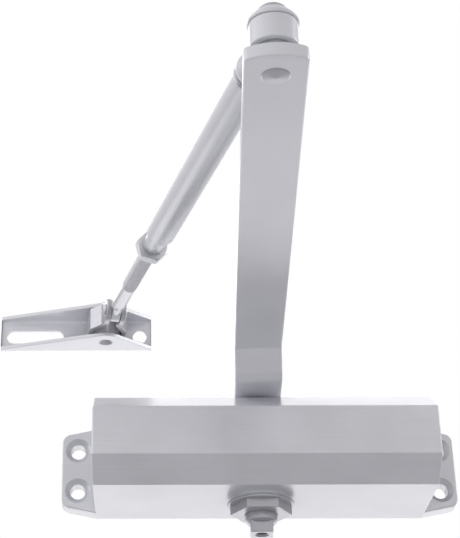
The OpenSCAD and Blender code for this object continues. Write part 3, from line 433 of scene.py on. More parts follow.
casting = {
    "length": 149.0, "halfHeight": 20.0, "depth": 61.5, "chamferFrom": 48.0, "frontHalf": 10.8,
    "corner": 0.9, "endEdge": 0.8, "backEdge": 0.3,
    "earThick": 9.0, "earEnd": 89.8, "earHalf": 16.7, "earCorner": 4.0, "earEdge": 0.6,
    "earRoot": 5.0, "earStep": 0.3, "rootCorner": 0.5,
    "holeX": 82.5, "holeZ": 9.5, "hole": 7.0, "countersink": 11.5,
    "boss": 26.0, "bossFace": -22.0, "bossEdge": 0.4, "bossRoot": 2.0,
    "bore": 30.0, "boreY": -30.0, "boreLead": 0.5, "pinionHole": 16.0, "pinionHoleTo": 17.0,
    "seat": 19.0, "seatFloor": 15.2, "lead": 0.3,
    "valveY": -13.0, "valveZ": 12.5, "valveHole": 6.1, "valveFrom": 55.9,
}


def makeCasting(c):
    half, h, edge = c["length"] / 2, c["halfHeight"], c["corner"]
    side = roundOff([(0, -h, c["backEdge"]), (0, h, c["backEdge"]), (-c["chamferFrom"], h, edge),
                     (-c["depth"], c["frontHalf"], edge), (-c["depth"], -c["frontHalf"], edge),
                     (-c["chamferFrom"], -h, edge)], 5)
    block = asObject(raised(side, -half, half, (c["endEdge"], c["endEdge"])), alongX())
    join = []
    rootX, faceX, rootZ = half - c["earRoot"], half - c["earStep"], h - 2 * hair
    outline = roundOff([(rootX, -rootZ), (faceX, -rootZ, c["rootCorner"]),
                        (c["earEnd"], -c["earHalf"], c["earCorner"]),
                        (c["earEnd"], c["earHalf"], c["earCorner"]),
                        (faceX, rootZ, c["rootCorner"]), (rootX, rootZ)], 8)
    for turn in (0, pi):
        ear = raised(outline, 0.0, c["earThick"], (c["backEdge"], c["earEdge"]))
        join.append(asObject(ear, spun(turn, "Y") @ spun(pi / 2, "X")))
    bossR, bossTop = c["boss"] / 2, c["bossRoot"] - h
    boss = [(0, c["bossFace"]), (bossR, c["bossFace"], c["bossEdge"]), (bossR, bossTop), (0, bossTop)]
    join.append(lathe(boss, place=pinionFrame))
    combine(block, "UNION", *join)
    end, seat, floor, lead = half + 2 * hair, c["seat"], c["seatFloor"], c["lead"]
    cut = [asObject(rod(c["bore"], -end, end, c["boreLead"], 96), at(0, c["boreY"]) @ alongX()),
           asObject(rod(c["pinionHole"], -c["pinionHoleTo"], c["pinionHoleTo"]), pinionFrame),
           asObject(rod(seat, floor, h + 2 * hair, lead, 96), pinionFrame),
           asObject(rod(seat, c["bossFace"] - 2 * hair, -floor, lead, 96), pinionFrame)]
    r, wide, front = c["hole"] / 2, c["countersink"] / 2, c["earThick"]
    sink = roundOff([(0, -1), (r, -1), (r, front - (wide - r)), (wide, front), (wide + 1, front + 1),
                     (0, front + 1)], closed=False)
    for x in (-c["holeX"], c["holeX"]):
        for z in (-c["holeZ"], c["holeZ"]):
            cut.append(asObject(turned(sink, 64), at(x, 0, z) @ spun(pi / 2, "X")))
    for z in (-c["valveZ"], c["valveZ"]):
        place = at(0, c["valveY"], z) @ alongX()
        cut.append(asObject(rod(c["valveHole"], c["valveFrom"], end, lead), place))
    return combine(block, "DIFFERENCE", *cut)


finishPiece("body_casting", makeCasting(casting), castEnamel)
print("body casting made")


# Screwed plugs in both ends of the cylinder, with a hexagon socket

plug = {
    "diameter": 29.96, "inner": 62.5, "outer": 73.7, "innerEdge": 0.3, "outerEdge": 0.7,
    "socketFlats": 10.0, "socketDeep": 6.0, "socketCorner": 0.3, "socketLead": 0.4,
    "grooveFrom": 64.5, "grooveTo": 66.9, "grooveRadius": 13.0,
}


def makePlug(p):
    r = p["diameter"] / 2
    inner, outer, groove = p["inner"], p["outer"], p["grooveRadius"]
    outline = [(0, inner), (r, inner, p["innerEdge"]), (r, p["grooveFrom"]), (groove, p["grooveFrom"]),
               (groove, p["grooveTo"]), (r, p["grooveTo"]), (r, outer, p["outerEdge"]), (0, outer)]
    body = lathe(outline, 2)
    low, high = outer - p["socketDeep"], outer + hair
    hexagon = hexOutline(p["socketFlats"], p["socketCorner"])
    return combine(body, "DIFFERENCE", asObject(raised(hexagon, low, high, (0, -p["socketLead"]), 2)))


plugY = casting["boreY"]
finishPiece("right_end_plug", makePlug(plug), turnedSteel, at(0, plugY) @ alongX())
finishPiece("left_end_plug", makePlug(plug), turnedSteel, spun(pi) @ at(0, -plugY) @ alongX())


# Under the body: round washer, hexagon seal nut, pinion with its square end

stack = {
    "washer": 29.6, "washerBore": 19.04, "washerTop": -22.0, "washerFace": -23.2, "washerEdge": 0.3,
    "nutFlats": 23.5, "nutFace": -27.2, "nutCorner": 0.5, "nutEdge": 0.3, "nutBore": 14.4, "nutLead": 0.1,
    "spigot": 18.96, "spigotTop": -18.74,
    "shaft": 14.0, "shaftFace": -31.4, "shaftBevel": 1.1, "waist": 10.2, "toothZone": 12.0, "topSeat": 22.6,
    "square": 9.8, "squareCorner": 13.2, "squareFace": -36.0, "squareTop": 27.3,
    "squareEdge": 0.3, "squareEndEdge": 0.35,
    "thread": 5.0, "threadMouth": 6.7, "threadDeep": 12.0, "threadTip": 1.2, "pitch": 0.8, "groove": 0.12,
}


def makeSealNut(s):
    low, high, top = s["nutFace"], s["washerFace"] - 2 * hair, s["spigotTop"]
    prism = asObject(raised(hexOutline(s["nutFlats"], s["nutCorner"]), low, high, (s["nutEdge"], 0)))
    combine(prism, "UNION", asObject(rod(s["spigot"], high - overlap, top)))
    bore = rod(s["nutBore"], low - 2 * hair, top + 2 * hair, s["nutLead"])
    return combine(prism, "DIFFERENCE", asObject(bore))


def toothOutline(teeth=10, pitchR=6.5, rootR=5.15, tipR=7.7):
    # plain trapezoid teeth stand for the involutes, deep inside the body
    flanks = ((rootR, -13.5), (pitchR, -8.5), (tipR, -3.4), (tipR, 3.4), (pitchR, 8.5), (rootR, 13.5))
    points = []
    for i in range(teeth):
        middle = -90 + i * 360 / teeth
        for radius, lean in flanks:
            a = radians(middle + lean)
            points.append((radius * cos(a), radius * sin(a)))
    return points


def makePinion(s):
    r, waist, bevel, zone = s["shaft"] / 2, s["waist"] / 2, s["shaftBevel"], s["toothZone"]
    face, seat = s["shaftFace"], s["topSeat"]
    shaft = lathe([(0, face), (r - bevel, face, 0.2), (r, face + bevel, 0.3), (r, -zone), (waist, -zone),
                   (waist, zone), (r, zone), (r, seat), (0, seat)])
    half, edge, endEdge = s["square"] / 2, s["squareEdge"], s["squareEndEdge"]
    outline = roundOff([(x * half, y * half, edge) for x, y in ((-1, -1), (1, -1), (1, 1), (-1, 1))], 2)
    for low, high, edges in ((s["squareFace"], face + 1, (endEdge, 0)),
                             (seat - 1, s["squareTop"], (0, endEdge))):
        end = asObject(raised(outline, low, high, edges))
        combine(end, "INTERSECT", asObject(rod(s["squareCorner"], low - 1, high + 1, 0, 96)))
        combine(shaft, "UNION", end)
    teeth = raised(toothOutline(), -zone + 2 * hair, zone - 2 * hair)
    combine(shaft, "UNION", asObject(teeth, spun(layout["armLean"])))
    core, mouth, deep = s["thread"] / 2, s["threadMouth"] / 2, s["threadDeep"]
    # threaded hole with its tapered mouth
    hole = [(0, -overlap), (mouth, -overlap), (mouth, 0), (core, mouth - core)]
    depth = mouth - core
    while depth < deep - 1:
        hole += [(core + s["groove"], depth + s["pitch"] / 2), (core, depth + s["pitch"])]
        depth += s["pitch"]
    hole += [(core, deep), (0, deep + s["threadTip"])]
    for end, turn in ((s["squareFace"], 0), (s["squareTop"], pi)):
        combine(shaft, "DIFFERENCE", asObject(turned(hole, 48), at(0, 0, end) @ spun(turn, "X")))
    return shaft


finishRing("lower_seal_washer", stack, "washer washerBore washerFace washerTop washerEdge",
           zincPaintedShade, pinionFrame)
finishPiece("lower_seal_nut", makeSealNut(stack), zincPaintedShade, pinionFrame)
finishPiece("pinion_shaft", makePinion(stack), turnedSteel, armFrame)

topNut = {"diameter": 26.0, "low": 20.02, "high": 21.6, "spigot": 18.96, "spigotLow": 18.76,
          "bore": 14.4, "edge": 0.2, "topEdge": 0.4, "boreEdge": 0.3,
          "pinHole": 2.0, "pinHoleX": 10.97, "pinHoleFloor": 20.4, "pinHoleLead": 0.15}


def makeTopNut(t):
    r, s, b = t["diameter"] / 2, t["spigot"] / 2, t["bore"] / 2
    low, high, edge = t["low"], t["high"], t["edge"]
    outline = [(b, t["spigotLow"], edge), (s, t["spigotLow"], edge), (s, low), (r, low, edge),
               (r, high, t["topEdge"]), (b, high, t["boreEdge"])]
    ring = asObject(turned(roundOff(outline, 3), ring=True))
    holes = [asObject(rod(t["pinHole"], t["pinHoleFloor"], high + hair, t["pinHoleLead"], 32), at(x, 0))
             for x in (-t["pinHoleX"], t["pinHoleX"])]
    return combine(ring, "DIFFERENCE", *holes)


finishPiece("upper_seal_nut", makeTopNut(topNut), zincPlate, pinionFrame)

armScrew = {"flats": 10.0, "low": 29.2, "high": 33.2, "corner": 0.3, "bevel": 0.5, "taper": 0.1,
            "washer": 16.0, "washerLow": 27.6, "washerBore": 6.4, "washerEdge": 0.3,
            "shank": 6.0, "shankLow": 27.3, "threadRoot": 4.96, "threadLow": 15.3,
            "dish": 6.0, "dishDeep": 0.5, "dishLead": 0.4}


def makeArmScrew(a):
    low, high, flats = a["low"], a["high"], a["flats"] / 2
    head = asObject(raised(hexOutline(a["flats"], a["corner"]), low, high))
    wide = flats / cos(pi / 6) + a["taper"]
    taper = turned([(0, low - 1), (wide, low - 1), (wide, high - a["bevel"]), (flats - a["taper"], high),
                    (0, high)])
    combine(head, "INTERSECT", asObject(taper))
    root, shank, joint = a["threadRoot"] / 2, a["shank"] / 2, low + overlap
    stem = turned([(0, a["threadLow"]), (root, a["threadLow"]), (root, a["shankLow"]),
                   (shank, a["shankLow"]), (shank, joint), (0, joint)], 48)
    combine(head, "UNION", asObject(stem))
    r, floor = a["dish"] / 2, high - a["dishDeep"]
    dish = turned([(0, floor), (r - a["dishLead"], floor), (r, high + hair), (0, high + hair)], 64)
    return combine(head, "DIFFERENCE", asObject(dish))


finishRing("arm_washer", armScrew, "washer washerBore washerLow low washerEdge", zincPlate, pinionFrame)
finishPiece("arm_screw", makeArmScrew(armScrew), zincPlate, pinionFrame)
print("pinion and its nuts made")


# Main arm: flat bar with a step, made flat and then bent

arm = {
    "width": 20.5, "thick": 5.0, "low": 22.6, "rise": 12.3, "angle": radians(62), "bend": 1.2,
    "upperFrom": 40.3 + 1.2 * tan(radians(31)), "tip": 11.8, "tipCurve": 20.0, "tipCorner": 2.4,
    "edge": 0.6, "squareHole": 9.9, "studHole": 8.04, "rivetHole": 8.84, "rivetDeep": 2.0,
}


def bendArm(a):
    # gives a function from (across, along, up through the thickness) to the bent bar
    turn, r, t = a["angle"], a["bend"], a["thick"]
    slope = (a["rise"] - (2 * r + t) * (1 - cos(turn))) / sin(turn)
    run = (2 * r + t) * sin(turn) + slope * cos(turn)
    lowerTo = a["upperFrom"] - run
    middle = r + t / 2
    first, second = middle * turn, middle * turn + slope
    low = (lowerTo, a["low"] + t + r)
    high = (a["upperFrom"], a["low"] + a["rise"] - r)

    def place(across, along, up):
        s, outer = along - lowerTo, r + t - up
        if s <= 0:
            x, z = along, a["low"] + up
        elif s < first:
            x = low[0] + outer * sin(s / middle)
            z = low[1] - outer * cos(s / middle)
        elif s < second:
            x = low[0] + outer * sin(turn) + (s - first) * cos(turn)
            z = low[1] - outer * cos(turn) + (s - first) * sin(turn)
        elif s < second + first:
            left = turn - (s - second) / middle
            x = high[0] - (r + up) * sin(left)
            z = high[1] + (r + up) * cos(left)
        else:
            x, z = a["upperFrom"] + s - second - first, a["low"] + a["rise"] + up
        return (across, -x, z)

    stations = [lowerTo + first * i / 8 for i in range(9)]
    stations += [lowerTo + second + first * i / 8 for i in range(9)]
    return place, stations, lowerTo + second + first - a["upperFrom"]


def makeArm(a):
    place, bends, extra = bendArm(a)
    half, corner = a["width"] / 2, a["tipCorner"]
    outline = arc((0, 0), half, -90, 0, 18)
    # rows of points across the bar, close together in its bends
    outline += [(half, s) for s in [10, 20] + bends + [60 + 20 * i for i in range(9)]]
    curve = layout["armLength"] + extra + a["tip"] - a["tipCurve"]
    cornerX = half - corner
    spread = asin(cornerX / (a["tipCurve"] - corner))
    cornerY = curve + (a["tipCurve"] - corner) * cos(spread)
    turnTo = 90 - spread * 180 / pi
    outline += arc((cornerX, cornerY), corner, 0, turnTo, 6)
    outline += arc((0, curve), a["tipCurve"], turnTo, 90, 8)[1:]
    full = outline + [(-x, y) for x, y in reversed(outline[1:-1])]
    count = len(full)
    form = bmesh.new()
    rows = []
    for up, depth in edgeSteps(0, a["thick"], (a["edge"], a["edge"])):
        rows.append([form.verts.new(place(p.x, p.y, up)) for p in inset(full, depth)])
    for low, high in zip(rows, rows[1:]):
        for i in range(count):
            j = (i + 1) % count
            form.faces.new((low[i], low[j], high[j], high[i]))
    for row in (rows[0], rows[-1]):
        for i in range(len(outline) - 1):
            corners = [row[i], row[i + 1], row[-i - 1], row[-i % count]]
            form.faces.new(list(dict.fromkeys(corners)))
    bar = asObject(form)
    w, low, thick = a["squareHole"] / 2, a["low"], a["thick"]
    high = low + a["rise"]
    stud = at(0, -layout["armLength"])
    return combine(
        bar, "DIFFERENCE",
        asObject(raised([(-w, -w), (w, -w), (w, w), (-w, w)], low - 1, low + thick + 1)),
        asObject(rod(a["studHole"], high + a["rivetDeep"] - overlap, high + thick + 1), stud),
        asObject(rod(a["rivetHole"], high - 1, high + a["rivetDeep"]), stud))


finishPiece("main_arm", makeArm(arm), steelEnamel, armFrame)
print("main arm made")


# Elbow: riveted stud, collar, hub with its neck and shoulder, cap and domed screw

elbow = {
    "armFace": 34.9, "armTop": 39.9, "rivet": 8.8, "head": 9.6, "headHigh": 0.8, "rivetSeat": 36.9,
    "stud": 8.0, "studTop": 54.2, "screwHole": 10.0, "spacer": 12.0, "spacerBore": 8.04,
    "spacerTop": 44.9, "spacerEdge": 0.3,
    "hub": 16.0, "hubLow": 45.05, "hubHigh": 54.05, "hubEdges": (0.45, 0.35), "hubBore": 10.5,
    "hubLead": 0.25, "bush": 10.46, "bushBore": 8.1, "bushEdge": 0.2, "neck": 8.0, "neckBlend": 0.5,
    "shoulder": 13.0, "shoulderFrom": 17.9, "bevel": 2.94, "shoulderEdge": 0.15, "shoulderSeat": 9.7,
    "seatEdge": 0.1, "tubeFrom": 24.9, "stem": 18.0, "stemDiameter": 8.66, "stemEdge": 0.4,
    "cap": 16.8, "capLow": 54.2, "capHigh": 59.2, "capRim": 0.8, "capFlat": 9.8, "capBreak": (0.25, 0.2),
    "capCurve": 1.25, "dome": 9.6, "domeTop": 62.1, "domeRim": 0.6, "domeBreak": 0.2,
    "socketFlats": 3.0, "socketDeep": 1.8, "socketCorner": 0.15, "screw": 5.0, "screwLong": 13.0,
}


def makeStud(e):
    face, low, seat, top = e["armFace"], e["armFace"] - e["headHigh"], e["rivetSeat"], e["studTop"]
    head, rivet, stud, screw = [e[key] / 2 for key in ("head", "rivet", "stud", "screw")]
    floor = top - e["screwHole"]
    outline = [(0, low), (head * 0.12, low, 1.0), (head * 0.88, face - e["headHigh"] * 0.38, 0.5),
               (head, face), (rivet, face), (rivet, seat), (stud, seat), (stud, top), (screw, top),
               (screw, floor), (0, floor)]
    return lathe(outline, 3, 64)


def makeKnuckle(e):
    r, low, high = e["hub"] / 2, e["hubLow"], e["hubHigh"]
    lowEdge, highEdge = e["hubEdges"]
    hub = lathe([(0, low), (r, low, lowEdge), (r, high, highEdge), (0, high)], 4, place=elbowFrame)
    neck, wide, seat, stem = [e[key] / 2 for key in ("neck", "shoulder", "shoulderSeat", "stemDiameter")]
    start, tube, bevel, edge = e["shoulderFrom"], e["tubeFrom"], e["bevel"], e["shoulderEdge"]
    end = tube + e["stem"]
    outline = [(0, r / 2), (neck, r / 2), (neck, start, e["neckBlend"]), (wide, start + bevel, edge),
               (wide, tube - bevel, edge), (seat, tube, e["seatEdge"]), (stem, tube),
               (stem, end, e["stemEdge"]), (0, end)]
    combine(hub, "UNION", lathe(outline, 4, place=forearmFrame @ alongY()))
    bore = rod(e["hubBore"], low - hair, high + hair, e["hubLead"], 96)
    return combine(hub, "DIFFERENCE", asObject(bore, elbowFrame))


def makeCap(e):
    r, flat, bore, low = e["cap"] / 2, e["capFlat"] / 2, e["screw"] / 2 + 2 * hair, e["capLow"]
    rise = e["capHigh"] - low - e["capRim"]
    inward, upward = e["capBreak"]
    side = [(r - (r - flat) * t ** e["capCurve"], low + e["capRim"] + rise * t)
            for t in [i / 12 for i in range(13)]]
    outline = [(bore, low), (r - inward, low), (r, low + upward)] + side + [(bore, e["capHigh"])]
    return asObject(turned(outline, ring=True))


def makeDome(e):
    r, low, top = e["dome"] / 2, e["capHigh"], e["domeTop"]
    rise = top - low - e["domeRim"]
    ball = (r * r + rise * rise) / (2 * rise)
    turns = [asin(r / ball) * (1 - i / 14) for i in range(15)]
    crown = [(ball * sin(a), top - ball + ball * cos(a)) for a in turns]
    shank, end, edge = e["screw"] / 2 - 2 * hair, low - e["screwLong"], e["domeBreak"]
    outline = [(0, end), (shank, end), (shank, low), (r - edge, low), (r, low + edge)] + crown
    hexagon = hexOutline(e["socketFlats"], e["socketCorner"])
    socket = raised(hexagon, top - e["socketDeep"], top + 10 * hair)
    return combine(asObject(turned(outline)), "DIFFERENCE", asObject(socket))


finishPiece("elbow_stud", makeStud(elbow), zincPlate, elbowFrame)
finishRing("elbow_spacer", elbow, "spacer spacerBore armTop spacerTop spacerEdge", turnedSteel, elbowFrame)
finishPiece("forearm_knuckle", makeKnuckle(elbow), steelEnamel)
finishRing("elbow_bush", elbow, "bush bushBore hubLow hubHigh bushEdge", machinedBrass, elbowFrame)
finishPiece("elbow_cap", makeCap(elbow), steelEnamel, elbowFrame)
finishPiece("elbow_cap_screw", makeDome(elbow), dullZinc, elbowFrame)
print("elbow made")


# Forearm: tube, threaded bush, lock nut, threaded rod with a flattened eye

forearm = {
    "tube": 12.3, "tubeBore": 8.7, "tubeFrom": 24.92, "tubeTo": 158.4, "lip": 0.9, "boreEdges": (0.1, 0.2),
    "bush": 8.9, "bushFixed": 8.66, "bushFrom": 142.4, "bushTo": 172.3, "bushBore": 6.85, "bushLip": 0.4,
    "bushEdge": 0.2, "bushStep": 0.15, "bushMouth": 0.3,
    "nutFlats": 12.2, "nutFrom": 172.45, "nutTo": 176.95, "nutTurn": radians(13),
    "nutCorner": 0.3, "nutTaper": 0.05, "nutBevel": 0.8, "nutLead": 0.5,
    "rod": 6.75, "pitch": 1.27, "root": 5.4, "threadFrom": 132.76, "threadTo": 222.76,
    "runIn": 1.5, "runOut": 2.5, "shank": 6.4, "flatRun": 3.5, "swell": 7.2, "swellFrom": 3.2,
    "eye": 10.0, "eyeThick": 4.4, "eyeEdge": 0.5, "eyeHole": 4.1, "eyeLead": 0.2,
}


def makeTube(f):
    r, inner, low, high, lip = f["tube"] / 2, f["tubeBore"] / 2, f["tubeFrom"], f["tubeTo"], f["lip"]
    lowEdge, highEdge = f["boreEdges"]
    outline = [(inner, low, lowEdge), (r, low, lip), (r, high, lip), (inner, high, highEdge)]
    return asObject(turned(roundOff(outline, 4), ring=True))


def makeBush(f):
    inner, fixed, outer = [f[key] / 2 for key in ("bushBore", "bushFixed", "bush")]
    low, high, tubeEnd = f["bushFrom"], f["bushTo"], f["tubeTo"] + 2 * hair
    outline = [(inner, low), (fixed, low, f["bushEdge"]), (fixed, tubeEnd),
               (outer, tubeEnd, f["bushStep"]), (outer, high, f["bushLip"]), (inner, high, f["bushMouth"])]
    return asObject(turned(roundOff(outline, 3), ring=True))


def makeLockNut(f):
    low, high, flats, bevel = f["nutFrom"], f["nutTo"], f["nutFlats"] / 2, f["nutBevel"]
    corner = flats / cos(pi / 6) + f["nutTaper"]
    nut = asObject(raised(hexOutline(f["nutFlats"], f["nutCorner"], f["nutTurn"]), low, high))
    taper = turned([(0, low), (flats, low), (corner, low + bevel), (corner, high - bevel), (flats, high),
                    (0, high)])
    combine(nut, "INTERSECT", asObject(taper))
    return combine(nut, "DIFFERENCE", asObject(rod(f["bushBore"], low - hair, high + hair, f["nutLead"])))


def makeThread(f, sides=24, rows=4):
    # one unbroken helix of flanks; each column of points climbs a share of the pitch
    crest, root = f["rod"] / 2, f["root"] / 2
    start, pitch = f["threadFrom"], f["pitch"]
    turns = int((f["threadTo"] - start) / pitch) - 1
    shares = ((0.0, root), (0.40, crest), (0.54, crest), (0.94, root))
    form = bmesh.new()
    columns = []
    for c in range(sides):
        a = 2 * pi * c / sides
        column = []
        for k in range(turns * rows + 1):
            share, radius = shares[k % rows]
            height = (k // rows + share + c / sides) * pitch
            fade = min(1, height / f["runIn"], (turns * pitch - height + pitch) / f["runOut"])
            radius = root + (radius - root) * max(0, fade)
            column.append(form.verts.new((radius * cos(a), radius * sin(a), start + height)))
        columns.append(column)
    foot = form.verts.new((0, 0, start))
    tip = form.verts.new((0, 0, start + (turns + 1) * pitch))
    for c in range(sides - 1):
        near, far = columns[c], columns[c + 1]
        for k in range(turns * rows):
            form.faces.new((near[k], far[k], far[k + 1], near[k + 1]))
        form.faces.new((foot, far[0], near[0]))
        form.faces.new((tip, near[-1], far[-1]))
    near, far = columns[-1], columns[0]
    for k in range((turns - 1) * rows):
        form.faces.new((near[k], far[k + rows], far[k + rows + 1], near[k + 1]))
    # the helix ends at the last column: its top turn closes on the tip, the first turn on the foot
    for k in range((turns - 1) * rows, turns * rows):
        form.faces.new((tip, near[k], near[k + 1]))
    form.faces.new((tip, columns[0][-1], near[(turns - 1) * rows]))
    for k in range(rows):
        form.faces.new((foot, columns[0][k + 1], columns[0][k]))
    form.faces.new((foot, columns[0][rows], near[0]))
    return asObject(form)


def makeRod(f):
    shank, swell, eyeR, thick = [f[key] / 2 for key in ("shank", "swell", "eye", "eyeThick")]
    end, stop = f["threadTo"], forearmLength - 1
    stem = asObject(turned([(0, end - 3), (shank, end - 3), (shank, stop), (0, stop)], 64))
    # flattened end: the round shank swells into a disc with two flats
    flatFrom, swellFrom = forearmLength - eyeR - f["flatRun"], forearmLength - f["swellFrom"]
    blade = asObject(turned([(0, flatFrom - 2), (shank, flatFrom - 2), (shank, flatFrom),
                             (swell, swellFrom), (swell, stop), (0, stop)], 64))
    slab = raised([(-thick, -8), (thick, -8), (thick, 8), (-thick, 8)], flatFrom - 3, forearmLength + 6)
    combine(blade, "INTERSECT", asObject(slab))
    eyePlace, edge = at(0, 0, forearmLength) @ spun(pi / 2, "Y"), f["eyeEdge"]
    disc = [(0, -thick), (eyeR, -thick, edge), (eyeR, thick, edge), (0, thick)]
    combine(blade, "UNION", lathe(disc, 3, 64, eyePlace))
    combine(stem, "INTERSECT", asObject(rod(20, end - 4, flatFrom + 0.8)))
    combine(stem, "UNION", blade, makeThread(f))
    hole = rod(f["eyeHole"], -thick - hair, thick + hair, f["eyeLead"], 48)
    return combine(stem, "DIFFERENCE", asObject(hole, eyePlace))


rodPlace = forearmFrame @ alongY()
finishPiece("forearm_tube", makeTube(forearm), zincPlate, rodPlace)
finishPiece("threaded_bush", makeBush(forearm), zincPlate, rodPlace)
finishPiece("lock_nut", makeLockNut(forearm), zincPaintedLight, rodPlace)
finishPiece("adjusting_rod", makeRod(forearm), zincPaintedLight, rodPlace)
print("forearm made")


# Yoke: strap bent round the pivot, with two ears and a headed pin

yoke = {
    "loop": 8.9, "strap": 2.2, "shoulderY": 6.0, "neckY": 13.0, "lap": 0.6, "height": 11.0, "edge": 0.45,
    "bends": (2.2, 1.6, 1.2), "earInner": 2.35, "earOuter": 4.55, "earRadius": 5.4,
    "earFrom": 15.4, "earWide": 17.8, "earBlend": 2.0, "pin": 4.0, "head": 6.0, "headHigh": 0.9,
    "sleeve": 13.36, "sleeveBore": 6.5, "sleeveLow": -6.55, "sleeveHigh": 6.55, "sleeveEdge": 0.2,
}


def makeYoke(y):
    half, loop, inner, edge = y["height"] / 2, y["loop"], y["loop"] - y["strap"], y["edge"]
    shoulder, neck, root = -y["shoulderY"], -y["neckY"], -y["neckY"] - y["lap"]
    earIn, earOut, drop = y["earInner"], y["earOuter"], y["strap"] * 0.35
    wide, tight, bend = y["bends"]
    outside = arc((0, 0), loop, 0, 180, 40)
    outside += roundOff([(-loop, -1), (-loop, shoulder, wide), (-earOut, neck, tight), (-earOut, root),
                         (earOut, root), (earOut, neck, tight), (loop, shoulder, wide), (loop, -1)],
                        5, closed=False)
    inside = arc((0, 0), inner, 0, 180, 40)
    inside += roundOff([(-inner, -1), (-inner, shoulder + drop, bend), (-earIn, neck + drop, bend),
                        (-earIn, neck - 3), (earIn, neck - 3), (earIn, neck + drop, bend),
                        (inner, shoulder + drop, bend), (inner, -1)], 5, closed=False)
    strap = asObject(raised(outside, -half, half, (edge, edge)))
    reach, pinZ, r, blend = layout["pinReach"], -layout["pinDrop"], y["earRadius"], y["earBlend"]
    earRoot, start, middle, end = -neck - y["lap"], y["earFrom"], y["earWide"], reach - overlap
    side = roundOff([(earRoot, -half), (start, -half, blend), (middle, pinZ - r, blend),
                     (end, pinZ - r)], 4, closed=False)
    side += arc((reach, pinZ), r, -90, 90, 24)
    side += roundOff([(end, pinZ + r), (middle, pinZ + r, blend), (start, half, blend),
                      (earRoot, half)], 4, closed=False)
    # ear outline (reach, up), raised along the pin
    toPin = Matrix(((0, 0, 1, 0), (-1, 0, 0, 0), (0, 1, 0, 0), (0, 0, 0, 1)))
    for low, high, edges in ((earIn, earOut, (edge / 2, edge)), (-earOut, -earIn, (edge, edge / 2))):
        combine(strap, "UNION", asObject(raised(side, low, high, edges), toPin))
    combine(strap, "DIFFERENCE", asObject(raised(inside, -half - 1, half + 1)))
    hole = rod(y["pin"] + 4 * hair, -earOut - overlap, earOut + overlap, 0, 48)
    return combine(strap, "DIFFERENCE", asObject(hole, at(0, -reach, pinZ) @ spun(pi / 2, "Y")))


def makeCrossPin(y):
    outer, pin, head, high = y["earOuter"], y["pin"] / 2, y["head"] / 2, y["headHigh"]
    rim, end = head - 0.7, outer + high
    outline = [(0, -end), (rim, -end, 0.3), (head, -outer, 0.12), (pin, -outer), (pin, outer),
               (head, outer, 0.12), (rim, end, 0.3), (0, end)]
    return lathe(outline, 3, 64)


finishPiece("swivel_yoke", makeYoke(yoke), zincPaintedShade, yokeFrame)
finishPiece("cross_pin", makeCrossPin(yoke), zincPlate,
            yokeFrame @ at(0, -layout["pinReach"], -layout["pinDrop"]) @ spun(pi / 2, "Y"))
finishRing("pivot_sleeve", yoke, "sleeve sleeveBore sleeveLow sleeveHigh sleeveEdge", zincPaintedLight, yokeFrame)


# Foot bracket: channel pressed from sheet, its flanges tapered from the pivot

bracket = {
    "left": 50.7, "right": 21.6, "height": 17.3, "sheet": 1.8, "bend": 2.8, "apex": 7.9, "endDepth": 3.4,
    "edge": 0.25, "slot": 27.3, "slotWide": 6.6, "slotAt": -34.3, "hole": 6.8, "holeAt": 16.1,
    "lead": 0.2, "fixingDrop": 1.4, "pin": 6.44,
}


def flangeDepth(b, x):
    # straight taper up to the round apex about the pivot
    depth, apex = -pivotY, b["apex"]
    best = depth + sqrt(apex ** 2 - x * x) if -apex < x < apex else 0
    for end in (-b["left"], b["right"]):
        if x * end <= 0:
            continue
        start = Vector((end, b["endDepth"]))
        far = start - Vector((0, depth))
        aim, opening = atan2(far.y, far.x), acos(apex / far.length)
        touches = [(apex * cos(a), depth + apex * sin(a)) for a in (aim + opening, aim - opening)]
        touch = max((Vector(p) for p in touches), key=lambda p: p.y)
        if abs(x) >= abs(touch.x):
            share = (x - start.x) / (touch.x - start.x)
            best = start.y + share * (touch.y - start.y)
    return best


def makeBracket(b):
    high, t, bend, edge = b["height"], b["sheet"], b["bend"], b["edge"]
    left, right, inner = b["left"], b["right"], bend - t
    # places of the sections: evenly along the tapers, closer round the apex
    taper, crown = b["apex"] + 0.4, b["apex"] - 0.05
    places = [-left + (left - taper) * i / 11 for i in range(12)]
    places += [-crown * cos(pi * i / 30) for i in range(31)]
    places += [taper + (right - taper) * i / 5 for i in range(6)]

    def section(x):
        depth = flangeDepth(b, x)
        return roundOff([(depth, 0, edge), (depth, t, edge), (t, t, inner), (t, high - t, inner),
                         (depth, high - t, edge), (depth, high, edge), (0, high, bend), (0, 0, bend)], 4)

    def endRings(x, into):
        # the edge at an end is rounded in three steps
        turns = [pi / 2 * i / 3 for i in range(3)]
        return [(x + into * edge * (1 - cos(a)), inset(section(x), edge * (1 - sin(a)))) for a in turns]

    rings = endRings(places[0], 1)
    rings += [(x, section(x)) for x in sorted(places)[1:-1]]
    rings += reversed(endRings(places[-1], -1))
    # section (depth, up) set along X, with the back at the wall
    form = loft([[(x, -p[0], p[1] + pivotZ - high / 2) for p in ring] for x, ring in rings])
    channel = asObject(form, at(pivotX, 0))
    r, half = b["slotWide"] / 2, (b["slot"] - b["slotWide"]) / 2
    slotOutline = arc((half, 0), r, -90, 90, 20) + arc((-half, 0), r, 90, 270, 20)
    slot = raised(slotOutline, -hair, t + hair, (-b["lead"], -b["lead"]), 2)
    hole = rod(b["hole"], -hair, t + hair, b["lead"])
    toWall, fixingZ = spun(pi / 2, "X"), pivotZ - b["fixingDrop"]
    return combine(channel, "DIFFERENCE",
                   asObject(slot, at(pivotX + b["slotAt"], 0, fixingZ) @ toWall),
                   asObject(hole, at(pivotX + b["holeAt"], 0, fixingZ) @ toWall),
                   asObject(rod(b["pin"], pivotZ - high, pivotZ + high), at(pivotX, pivotY)))


pivotPin = {"diameter": 6.4, "low": 63.05, "rim": 0.4, "dimple": 1.5,
            "seat": 80.05, "head": 10.0, "headSide": 0.5, "headTop": 82.05, "headBevel": 1.5}


